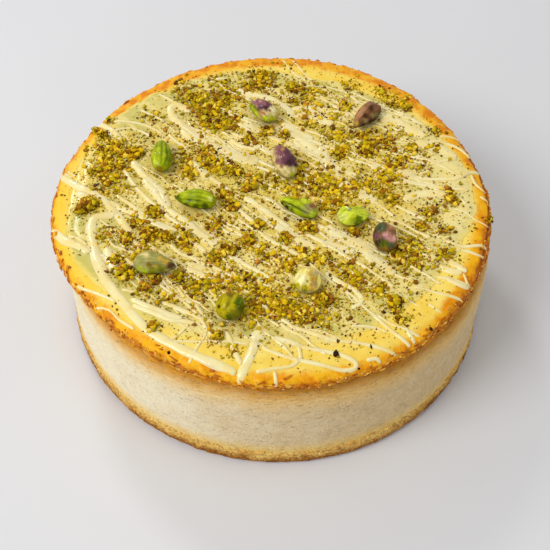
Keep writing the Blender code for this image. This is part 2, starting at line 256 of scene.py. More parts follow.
def on_section(distance):
    """Radius, height and outward normal of the section, that far along it from the middle."""
    low, high = 0, len(LENGTHS) - 2
    while low < high:
        middle = (low + high + 1) // 2
        if LENGTHS[middle] <= distance:
            low = middle
        else:
            high = middle - 1
    (r0, z0), (r1, z1) = SECTION[low], SECTION[low + 1]
    span = LENGTHS[low + 1] - LENGTHS[low]
    share = (distance - LENGTHS[low]) / span
    return r0 + (r1 - r0) * share, z0 + (z1 - z0) * share, (z0 - z1) / span, (r1 - r0) / span


def outline(radii, x, y):
    """Radius in the direction of (x, y) of the smooth outline through radii in millimetres."""
    share = (math.atan2(y, x) % math.tau) / math.tau * len(radii)
    first = int(share)
    before, here, after, beyond = (radii[(first + k) % len(radii)] * MM for k in (-1, 0, 1, 2))
    t = share - first
    bend = 2 * before - 5 * here + 4 * after - beyond
    twist = 3 * (here - after) + beyond - before
    return 0.5 * (2 * here + (after - before) * t + bend * t**2 + twist * t**3)


def unevenness(point):
    """Where a point of the even, turned cake lies on the uneven one."""
    radius = math.hypot(point.x, point.y)
    rim_share = smooth_step((point.z - NECK_HEIGHT + 7 * MM) / (10 * MM))
    spread = 1 + (outline(RIM_RADII, point.x, point.y) / RIM_RADIUS - 1) * rim_share
    swell = TOP_SWELL * noise.noise(Vector((point.x, point.y, 0)) / (45 * MM))
    lift = swell * rim_share * smooth_step((RIM_RADIUS - radius) / (20 * MM))
    return Vector((point.x * spread, point.y * spread, point.z + lift)) + WALL_SHIFT * (1 - rim_share)


def wrap(x, y, height):
    """A point laid on the cake's top and bent over its lip: x and y are measured along the skin."""
    distance = math.hypot(x, y)
    theta = math.atan2(y, x)
    r, z, out, up = on_section(distance)
    r += out * height
    z += up * height
    return unevenness(Vector((r * math.cos(theta), r * math.sin(theta), z)))


LIP_LENGTH = LENGTHS[TOP_STEPS + SHOULDER_STEPS]
print(f"skin runs {LIP_LENGTH / MM:.1f} mm from the middle to the lip, {LENGTHS[-1] / MM:.1f} mm to the foot")

# %% [markdown]
# Most pieces here are sheets of points in rows: round the cake, or round a strand. One helper joins such rows into a
# mesh, and another makes the object, gives it its finish, hangs it under the root body and hides any solid it stands
# for.

# %% Helpers for making pieces
def rows_to_mesh(name, rows, tip=None, tail=None):
    """A closed-round mesh from rows of points; tip and tail are points that close its ends."""
    width = len(rows[0])
    points = [p for row in rows for p in row]
    faces = []
    for k in range(len(rows) - 1):
        a, b = k * width, (k + 1) * width
        faces += [(a + i, b + i, b + (i + 1) % width, a + (i + 1) % width) for i in range(width)]
    for end, first in ((tip, 0), (tail, (len(rows) - 1) * width)):
        if end is not None:
            points.append(end)
            apex = len(points) - 1
            ring = [(first + i, first + (i + 1) % width) for i in range(width)]
            faces += [(apex, i, j) if first == 0 else (apex, j, i) for i, j in ring]
    mesh = bpy.data.meshes.new(name)
    mesh.from_pydata(points, [], faces)
    return mesh


def hand_over(name, mesh, finish, stands_for=(), smooth=True):
    """Makes the object, gives it its material, hangs it under the root body and hides the solids it stands for."""
    obj = bpy.data.objects.new(name, mesh)
    scene.collection.objects.link(obj)
    mesh.materials.append(finish)
    if smooth:
        mesh.shade_smooth()
    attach(obj, "root")
    if stands_for:
        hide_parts(*stands_for)
    print(f"{name}: {sum(len(p.vertices) - 2 for p in mesh.polygons)} triangles")
    return obj


def joined(name, parts):
    """One mesh from many (points, faces) pairs."""
    points, faces = [], []
    for part_points, part_faces in parts:
        start = len(points)
        points += part_points
        faces += [tuple(start + i for i in face) for face in part_faces]
    mesh = bpy.data.meshes.new(name)
    mesh.from_pydata(points, [], faces)
    return mesh


# %% [markdown]
# The filling is the body of the cake: a pale wall, a browned neck under the rim, a crackled,
# overhanging lip, and yellow skin on top. Displacing a turned mesh by noise gives all of these,
# with rings close together only where the relief is fine: on the lip and neck.

# %% The filling's shape
TURNS = 780
SKIN_START = 84 * MM
CRUST_START = 97 * MM


def ring_distances():
    """How far along the section each ring of points lies: close together near the lip."""
    places = [k * 3.5 * MM for k in range(1, 24)]
    for start, end, pitch in ((SKIN_START, CRUST_START, 1.1 * MM), (CRUST_START, LIP_LENGTH + 14 * MM, 0.45 * MM),
                              (LIP_LENGTH + 14 * MM, LENGTHS[-1] - 3 * MM, 1.35 * MM)):
        steps = math.ceil((end - start) / pitch)
        places += [start + (end - start) * k / steps for k in range(steps)]
    return places + [LENGTHS[-1] - gap * MM for gap in (2.2, 1.6, 0.8, 0.01)]


def lip_edge(point):
    """Height of the overhanging crust's ragged lower edge beside a point, in millimetres."""
    flat = Vector((point.x, point.y, 0)) / MM
    return 58.4 + 1.6 * noise.noise(flat / 11) + 1.5 * noise.noise(flat / 3.7) + 0.9 * noise.noise(flat / 1.7)


def relief(point, distance):
    """How far the skin stands out of the even shape here, in millimetres."""
    p = point / MM
    past = (distance - LIP_LENGTH) / MM
    if past < -16:
        return 0.15 * noise.noise(p / 6)
    crag = 0.7 * noise.noise(p / 5) + 0.5 * noise.noise(p / 2.3) + 0.35 * noise.noise(p / 1.3)
    crust = smooth_step((past + 6) / 5)
    crag += 0.9 * smooth_step((p.y - 30) / 50) * smooth_step((2 - past) / 3)
    crag -= 0.7 * math.exp(-((past + 2.4) / 0.7) ** 2) * smooth_step((p.x - 84) / 8)
    flat = Vector((p.x / 7, p.y / 7, p.z / 1.0))
    fine = Vector((p.x / 2.6, p.y / 2.6, p.z / 0.8))
    fibres = 0.5 * noise.noise(flat) + 0.3 * noise.noise(fine)
    hang = smooth_step((p.z - lip_edge(point)) / 0.8)
    if past < 0.5:
        return crag * (0.2 + 0.8 * crust) + 0.35 * crust
    neck = smooth_step((p.z - 42) / 12)
    wall = 0.2 * noise.noise(Vector((p.x / 6, p.y / 6, p.z / 1.6))) + 0.15 * noise.noise(p / 14)
    return hang * (crag + 0.75) + (1 - hang) * (fibres * neck - 0.35 * neck + wall)


def on_filling(angle, distance, height=0.0):
    """A point above the finished surface of the filling, and the way out of it there."""
    r, z, out, up = on_section(distance)
    flat = unevenness(Vector((r * math.cos(angle), r * math.sin(angle), z)))
    way = Vector((out * math.cos(angle), out * math.sin(angle), up))
    return flat + way * (relief(flat, distance) * MM + height), way


def build_filling():
    """The whole filling in rings; each point keeps how far past the lip it is, in millimetres."""
    distances = ring_distances()
    rows = [[on_filling(k * math.tau / TURNS, distance)[0] for k in range(TURNS)] for distance in distances]
    centre = wrap(NEAR_MIDDLE, 0, 0)
    foot = BASE_THICKNESS - 0.2 * MM
    rows.append([Vector((p.x * 0.5, p.y * 0.5, foot)) for p in rows[-1]])
    mesh = rows_to_mesh("filling", rows, centre, Vector((WALL_SHIFT.x, WALL_SHIFT.y, foot)))
    along = mesh.attributes.new("along", "FLOAT", "POINT")
    past = [(d - LIP_LENGTH) / MM for d in distances for _ in range(TURNS)]
    past += [100.0] * (len(mesh.vertices) - len(past))
    past[len(mesh.vertices) - 2] = -LIP_LENGTH / MM
    along.data.foreach_set("value", past)
    return mesh


filling_mesh = build_filling()
print(len(filling_mesh.vertices), "points in the filling")

# %% [markdown]
# One material covers the filling, because each zone fades into the next. It reads how far along
# the skin a point is from the lip, moves that by noise so that no edge is even, and lays the
# zones over each other: cream wall, brown fibrous neck, orange lip with pale blisters, yellow skin.

# %% The filling's finish
def filling_finish():
    made, place = new_material("baked filling")
    along = place.node("ShaderNodeAttribute", {"attribute_name": "along"}, output=2)
    x, y, height = (place.node("ShaderNodeSeparateXYZ", {}, {0: place}, axis) for axis in range(3))
    # This side value grows towards the front right, away from the key lamp. The wall's tan, the darker neck and the
    # stronger crease darkening that follow it are painted shade, and the toasted band reaches a little lower there.
    painted_shade_side = (x * 0.866 - y * 0.5) / 99
    big = place.cloud(22)
    middling = place.cloud(6, detail=4)
    fine = place.cloud(1.6, detail=4)
    grain = place.cloud(0.8, detail=2)
    drift = (big - 0.5) * 7 + (middling - 0.5) * 5
    flat = place * (1.0, 1.0, 7.0)
    fibres = flat.cloud(6, detail=5, rough=0.65)
    threads = flat.cloud(2.4, detail=4, rough=0.6)

    mild = (middling * 0.5 + fine * 0.5).step(0.3, 0.7)
    wall = mild.blend(srgb(249, 233, 194), srgb(255, 244, 212))
    tan = mild.blend(srgb(220, 190, 140), srgb(240, 212, 162))
    # Tan towards the front right, patchy by noise: painted shade.
    wall = (painted_shade_side + (big - 0.5) * 1.2).step(-0.25, 0.92).blend(wall, tan)
    # Golden colour low on the wall is painted reflected light.
    painted_reflection = (height + drift * 0.7).step(19, 9)
    wall = (painted_reflection * 0.85).blend(wall, mild.blend(srgb(248, 196, 92), srgb(255, 224, 130)))
    # Creases and pores are painted darker where the bump sinks: painted shade, stronger in creases on the shaded side.
    creases = (place * (1.0, 1.0, 3.5)).cloud(2.6, detail=4, bend=0.8).step(0.38, 0.31)
    wall = (creases * painted_shade_side.step(-0.5, 0.7) * 0.28).blend(wall, srgb(172, 130, 76))
    pores = place.cells(1.6).step(0.18, 0.08)
    wall = (pores * 0.45).blend(wall, srgb(176, 140, 90))

    toasted = (height + drift * 0.8 + (fibres - 0.5) * 10 + painted_shade_side * 1.5).step(39, 54)
    side = (toasted * 0.75).blend(wall, srgb(248, 200, 110))
    neck_share = (height + drift * 0.7 + (fibres - 0.5) * 9).step(48, 57)
    neck = fibres.step(0.35, 0.65).blend(srgb(182, 112, 16), srgb(240, 168, 38))
    # Darker thread hollows and lighter thread ridges on the neck: partly its own browning, partly painted shade and
    # painted light.
    neck = (threads.step(0.44, 0.34) * 0.5).blend(neck, srgb(138, 78, 24))
    neck = (threads.step(0.60, 0.68) * 0.5).blend(neck, srgb(248, 198, 96))
    # Darker neck towards the front right: painted shade.
    neck = (painted_shade_side.step(-0.5, 0.8) * 0.3).blend(neck, srgb(140, 84, 20))
    side = neck_share.blend(side, neck)

    skin = (big * 0.6 + middling * 0.4).step(0.35, 0.65).blend(srgb(251, 210, 76), srgb(254, 226, 114))
    # Deeper yellow towards the left edge: painted shade that tones down the strong lamp light there.
    skin = (x.step(-62, -94) * 0.6).blend(skin, srgb(250, 204, 48))
    flecks = place.cells(2.6).step(0.13, 0.06)
    skin = (flecks * 0.5).blend(skin, srgb(222, 150, 50))
    back_side = y.step(12, 62)
    edge = along + drift * 0.6 + (fine - 0.5) * 4 + x.step(60, 94) * (1 - y.step(-20, 10)) * 2.0
    edge = edge + x.step(66, 96) * 2.6 + (1 - x.step(-96, -60)) * -2.4
    gold = middling.step(0.35, 0.7).blend(srgb(255, 188, 26), srgb(236, 142, 0))
    streaks = (place * (1.0, 0.25, 1.0)).cloud(2.5, detail=3)
    baked = (streaks * 0.4 + middling * 0.6).step(0.40, 0.60).blend(srgb(253, 186, 40), srgb(230, 132, 8))
    gold = (back_side * 0.9).blend(gold, baked)
    top = (edge + back_side * 4.0).step(-7.5, -3.5).blend(skin, gold)
    toast = (edge + (middling - 0.5) * 5).step(-2.4, 0.8)
    browned = fine.step(0.35, 0.65).blend(srgb(176, 88, 6), srgb(226, 136, 18))
    browned = back_side.blend(browned, fine.step(0.35, 0.65).blend(srgb(206, 108, 0), srgb(240, 150, 16)))
    top = (toast * 0.9).blend(top, browned)
    scorch = (middling * 0.45 + fine * 0.55).step(0.53, 0.62) * (along + drift * 0.4).step(-2.5, 0.5)
    top = (scorch * (0.8 - back_side * 0.5)).blend(top, srgb(132, 60, 4))
    # Darker brown along the furrow by the right lip: painted shade in the furrow.
    furrow = (along + drift * 0.2).step(-3.6, -2.6) * (along + drift * 0.2).step(-1.0, -1.9) * x.step(86, 92)
    top = (furrow * 0.75).blend(top, srgb(150, 70, 4))
    blisters = (place + (fine - 0.5) * 0.6).cells(2.0).step(0.28, 0.18) * (along + drift * 0.6).step(-3, 0)
    top = (blisters * 0.5).blend(top, srgb(250, 204, 96))

    under = (along + (fine - 0.5) * 2.5).step(1.0, 3.2)
    colour = under.blend(top, side)
    rough = (1 - under) * (0.24 + (fine * 0.22)) + under * 0.6
    bumps = fine * 0.4 + grain * 0.25 + threads * 0.35 - pores * 0.25 - creases * 0.45
    bumps = bumps * (0.15 + 0.85 * along.step(-5, 0))
    return finish_material(made, colour, rough, bumps, 0.75, Specular_IOR_Level=0.12, **soft(0.06, 2.5, 1.5, 0.6))


hand_over("filling", filling_mesh, filling_finish(), ["cheesecake"])

# %% [markdown]
# Baking cracks the lip into thin flakes and lifts small pale blisters. Noise alone rounds such
# things off, so they are real pieces: six-cornered plates with a low dome, and tiny beads. Each
# is set on the displaced surface, turned along the rim and tilted a little.

# %% Flakes and blisters of the crust
def flake(draw, middle, way, length, width, thickness):
    """Points and faces of one thin plate that lies across the way out."""
    around = way.cross(Vector((0, 0, 1))).normalized()
    turn = Matrix.Rotation(draw.gauss(0, 0.35), 3, way) @ Matrix.Rotation(draw.gauss(0, 0.3), 3, around)
    long_way, wide_way, up_way = turn @ around, turn @ way.cross(around), turn @ way
    points = []
    reaches = [draw.uniform(0.6, 1.15) for _ in range(6)]
    for level in (0.35, -0.65):
        for k, reach in enumerate(reaches):
            angle = k * math.tau / 6
            points.append(middle + long_way * (length / 2 * reach * math.cos(angle))
                          + wide_way * (width / 2 * reach * math.sin(angle)) + up_way * (thickness * level))
    points.append(middle + up_way * thickness)
    faces = [(k, (k + 1) % 6, 12) for k in range(6)]
    faces += [(k, k + 6, (k + 1) % 6 + 6, (k + 1) % 6) for k in range(6)] + [(11, 10, 9, 8, 7, 6)]
    return points, faces


FLAKES, BLISTERS = 1300, 300


def crust_pieces(seed):
    """Flakes all round the lip, fewer at the back, and blisters between them."""
    draw = random.Random(seed)
    flakes, beads = [], []
    for _ in range(FLAKES):
        angle = draw.uniform(0, math.tau)
        if math.sin(angle) > 0.1 and draw.random() < 0.7:
            continue
        place, way = on_filling(angle, LIP_LENGTH + draw.gauss(0.3, 1.7) * MM, 0.1 * MM)
        flakes.append(flake(draw, place, way, draw.uniform(0.8, 4.4) * MM, draw.uniform(0.5, 1.6) * MM,
                            draw.uniform(0.25, 0.6) * MM))
    for _ in range(BLISTERS):
        place, way = on_filling(draw.uniform(0, math.tau), LIP_LENGTH + draw.gauss(-0.3, 1.5) * MM, 0.15 * MM)
        size = draw.uniform(0.25, 0.5) * MM
        beads.append(flake(draw, place, way, size * 2.2, size * 1.9, size * 0.8))
    return flakes, beads


crust_flakes, crust_beads = crust_pieces(21)
print(len(crust_flakes), "flakes and", len(crust_beads), "blisters")

# %% [markdown]
# No two flakes bake to the same brown. Geometry's Random Per Island gives each separate bit a
# number of its own, and a ramp turns that into its colour, so one material serves them all.

# %% The finish of flakes, blisters and other bits


def speckled_finish(name, stops, rough, painted_foot_shade=False, **fixed):
    """Each separate bit takes its own colour from the stops, and can be given painted shade at its foot."""
    made, place = new_material(name)
    own = place.node("ShaderNodeNewGeometry", output=8)
    mottle = place.cloud(0.7, detail=2)
    colour = own.node("ShaderNodeValToRGB", {"stops": stops}, {0: own * 0.8 + mottle * 0.2})
    if painted_foot_shade:
        level = place.node("ShaderNodeAttribute", {"attribute_name": "level"}, output=2)
        # Painted shade at the foot of each bit, and a little painted light on its top.
        colour = level.step(0.16, 0.82).blend(colour * (0.16, 0.11, 0.03), colour * (1.05, 1.0, 0.94))
    return finish_material(made, colour, rough, mottle, 0.25, Specular_IOR_Level=0.12, **fixed)


hand_over("crust_flakes", joined("crust_flakes", crust_flakes), speckled_finish("crust flake", (
    (0.0, srgb(132, 62, 4)), (0.25, srgb(190, 104, 8)), (0.6, srgb(226, 144, 20)), (0.9, srgb(246, 192, 76))), 0.35,
    Coat_Weight=0.1), smooth=False)
hand_over("crust_blisters", joined("crust_blisters", crust_beads), speckled_finish("blister", (
    (0.0, srgb(240, 172, 60)), (0.5, srgb(248, 202, 96)), (1.0, srgb(253, 226, 144))), 0.25))

# %% [markdown]
# The base is a pressed biscuit layer. Its wall is rough all over, so the turned mesh is pushed in
# and out by three sizes of noise, and its upper edge is lifted and dropped by another.

# %% The biscuit base
# Radius and height down the rough wall, in millimetres.
BASE_WALL = ((98.4, 9.9), (99.3, 9.8), (99.7, 8.9), (99.8, 7.6), (99.9, 6.4), (100.0, 5.2), (100.1, 4.0),
             (100.1, 3.0), (99.9, 2.0), (99.5, 1.1), (98.9, 0.4), (98.0, 0.02))


ROWS_BETWEEN = 3


def build_base():
    rows = []
    for (r0, z0), (r1, z1) in zip(BASE_WALL, BASE_WALL[1:]):
        for part in range(ROWS_BETWEEN):
            r = (r0 + (r1 - r0) * part / ROWS_BETWEEN) * MM
            z = (z0 + (z1 - z0) * part / ROWS_BETWEEN) * MM
            row = []
            for k in range(TURNS):
                angle = k * math.tau / TURNS
                out = Vector((math.cos(angle), math.sin(angle), 0))
                p = out * r + Vector((0, 0, z))
                q = p / MM
                push = 0.4 * noise.noise(q / 2.6) + 0.4 * noise.noise(q / 1.3) + 0.3 * noise.noise(q / 6)
                lift = 1.3 * noise.noise(Vector((q.x, q.y, 9)) / 2.7) * smooth_step((q.z - 6) / 3)
                middle = smooth_step(q.z / 1.5)
                row.append(p + WALL_SHIFT + out * push * middle * MM + Vector((0, 0, lift * MM)))
            rows.append(row)
    rows.append([Vector((p.x * 0.985, p.y * 0.985, 0)) for p in rows[-1]])
    top = Vector((0, 0, BASE_THICKNESS + 0.2 * MM))
    return rows_to_mesh("base", rows, top, Vector((0, 0, 0)))


def biscuit_finish():
    made, place = new_material("biscuit")
    height = place.node("ShaderNodeSeparateXYZ", {}, {0: place}, 2)
    grains = place.cells(1.3)
    patch = place.cloud(7)
    fine = place.cloud(0.9, detail=3)
    mix = (patch * 0.5 + fine * 0.5).step(0.36, 0.64)
    low = mix.blend(srgb(124, 70, 10), srgb(196, 132, 40))
    high = mix.blend(srgb(226, 168, 74), srgb(250, 212, 122))
    # Browner towards the foot and golden towards the top: partly the biscuit's own colour, partly painted shade at the
    # foot and painted reflected light at the top.
    colour = (height + (patch - 0.5) * 6 + (fine - 0.5) * 3).step(3.0, 8.0).blend(low, high)
    # Darker between the grains, where the bump sinks: painted shade between crumbs.
    colour = (grains.step(0.5, 0.8) * 0.5).blend(colour, srgb(120, 66, 16))
    return finish_material(made, colour, 0.8, (1 - grains) * 0.7 + fine * 0.5, 0.6, Specular_IOR_Level=0.2)


biscuit = biscuit_finish()
hand_over("base", build_base(), biscuit, ["biscuit_base"])

# %% [markdown]
# The glaze was poured on warm and stopped short of the rim with a rounded edge. A polar grid
# follows that wavy edge. Its height rises as a quarter round at the edge, then ripples gently
# in the direction in which the cream was swept across it.

# %% The glaze's shape
GLAZE_RADII = (92.5, 92, 89, 85, 85, 89, 91.5, 94, 94, 91, 93.5, 92, 88, 84.5, 82, 83, 84.5, 87)
GLAZE_THICKNESS = 1.0 * MM
GLAZE_BEDDED = 0.4 * MM
EDGE_ROUND = 5.0 * MM
SWEEP = math.radians(-37)


def glaze_edge(x, y):
    """Radius of the glaze in the direction of (x, y)."""
    theta = math.atan2(y, x)
    round_place = Vector((math.cos(theta), math.sin(theta), 0.3))
    wave = 2.2 * noise.noise(round_place * 7) + 1.1 * noise.noise(round_place * 17)
    wave += 0.5 * noise.noise(round_place * 40)
    return outline(GLAZE_RADII, x, y) + wave * MM


def glaze_height(x, y):
    """Height of the glaze's surface above the skin, and 0 where there is none."""
    inside = glaze_edge(x, y) - math.hypot(x, y)
    if inside <= 0:
        return 0.0
    share = min(1.0, inside / EDGE_ROUND)
    start = min(1.0, inside / (0.5 * MM))
    along = (x * math.cos(SWEEP) + y * math.sin(SWEEP)) / MM
    across = (y * math.cos(SWEEP) - x * math.sin(SWEEP)) / MM
    ripple = 0.22 * noise.noise(Vector((along / 26, across / 5, 0)))
    ripple += 0.1 * noise.noise(Vector((along / 12, across / 2.4, 4)))
    return (GLAZE_THICKNESS + ripple * MM) * (0.2 * math.sqrt(1 - (1 - start) ** 2) + 0.8 * smooth_step(share))


def build_glaze():
    gaps = (0, 0.05, 0.15, 0.35, 0.6, 0.95, 1.4, 2.0, 3.0, 4.6)
    plan = [(k / 42, gaps[-1]) for k in range(1, 42)] + [(1.0, gap) for gap in reversed(gaps)]
    turns = TURNS // 2
    rows, inside = [], []
    for share, gap in plan:
        row = []
        for k in range(turns):
            angle = k * math.tau / turns
            edge = glaze_edge(math.cos(angle), math.sin(angle))
            radius = (edge - gap * MM) * share
            x, y = radius * math.cos(angle), radius * math.sin(angle)
            row.append(wrap(x, y, glaze_height(x, y)))
            inside.append((edge - radius) / MM)
        rows.append(row)
    for share in (0.995, 0.8, 0.4):
        rows.append([wrap(p.x * share, p.y * share, -GLAZE_BEDDED) for p in rows[len(plan) - 1]])
    mesh = rows_to_mesh("glaze_pool", rows, wrap(NEAR_MIDDLE, 0, glaze_height(NEAR_MIDDLE, 0)),
                        wrap(NEAR_MIDDLE, 0, -GLAZE_BEDDED))
    inside += [80.0] * (len(mesh.vertices) - len(inside))
    mesh.attributes.new("inside", "FLOAT", "POINT").data.foreach_set("value", inside)
    return mesh


glaze_mesh = build_glaze()
print(len(glaze_mesh.vertices), "points in the glaze")

# %% [markdown]
# The glaze is a pale green cream. Where it lies thin the yellow skin warms it, and the cream that
# sank into it leaves paler bands along the sweep. Stretching the noise's coordinates along that
# direction makes those bands, and a low roughness with a coat makes the wet shine.

# %% The glaze's finish
def glaze_finish():
    made, place = new_material("pale glaze")
    turned = place.node("ShaderNodeVectorRotate", {"rotation_type": "Z_AXIS"}, {"Vector": place, "Angle": -SWEEP})
    bands = (turned * (0.22, 1.0, 0.0)).cloud(6, detail=4, rough=0.5, bend=0.4)
    patches = place.cloud(24, detail=2)
    small = place.cloud(7, detail=3)
    reach = (place * (1.0, 1.0, 0.0)).length()
    green = patches.step(0.35, 0.65).blend(srgb(208, 196, 102), srgb(226, 208, 120))
    warm = small.step(0.35, 0.65).blend(srgb(230, 204, 84), srgb(246, 222, 122))
    middle = (reach + (patches - 0.5) * 70 + (small - 0.5) * 20).step(74, 52)
    colour = (middle * 0.8).blend(green, warm)
    colour = (bands.step(0.46, 0.60) * 0.8).blend(colour, srgb(250, 228, 142))
    thin = (patches * 0.5 + small * 0.5).step(0.54, 0.62)
    colour = (thin * 0.6).blend(colour, srgb(250, 210, 70))
    # Paler towards the right: partly the glaze's own pale patches, partly painted light that lifts the side away from
    # the key lamp.
    right = place.node("ShaderNodeSeparateXYZ", {}, {0: place}, 0).step(45, 85)
    colour = (right * (0.45 + small * 0.45)).blend(colour, srgb(246, 228, 154))
    dust = place.cloud(1.5, detail=3).step(0.50, 0.60) * (reach + (patches - 0.5) * 60).step(84, 64)
    colour = (dust * 0.42).blend(colour, srgb(200, 156, 8))
    inside = place.node("ShaderNodeAttribute", {"attribute_name": "inside"}, output=2)
    colour = ((inside + (small - 0.5) * 4).step(3.0, 0.4) * 0.75).blend(colour, srgb(252, 222, 110))
    return finish_material(made, colour, 0.22, bands * 0.6 + small * 0.2, 0.5, Coat_Weight=0.14,
                           Coat_Roughness=0.1, Specular_IOR_Level=0.22, **soft(0.12, 2.5, 2, 0.8))


hand_over("glaze_pool", glaze_mesh, glaze_finish(), ["glaze"])

# %% [markdown]
# Cream was drizzled over the glaze in swept, looping strings. The main ones are drawn here as
# width and points on the top, in millimetres. A flattened tube that follows each curve along
# the surface gives the rounded, melted bead, thin where the string starts and ends.

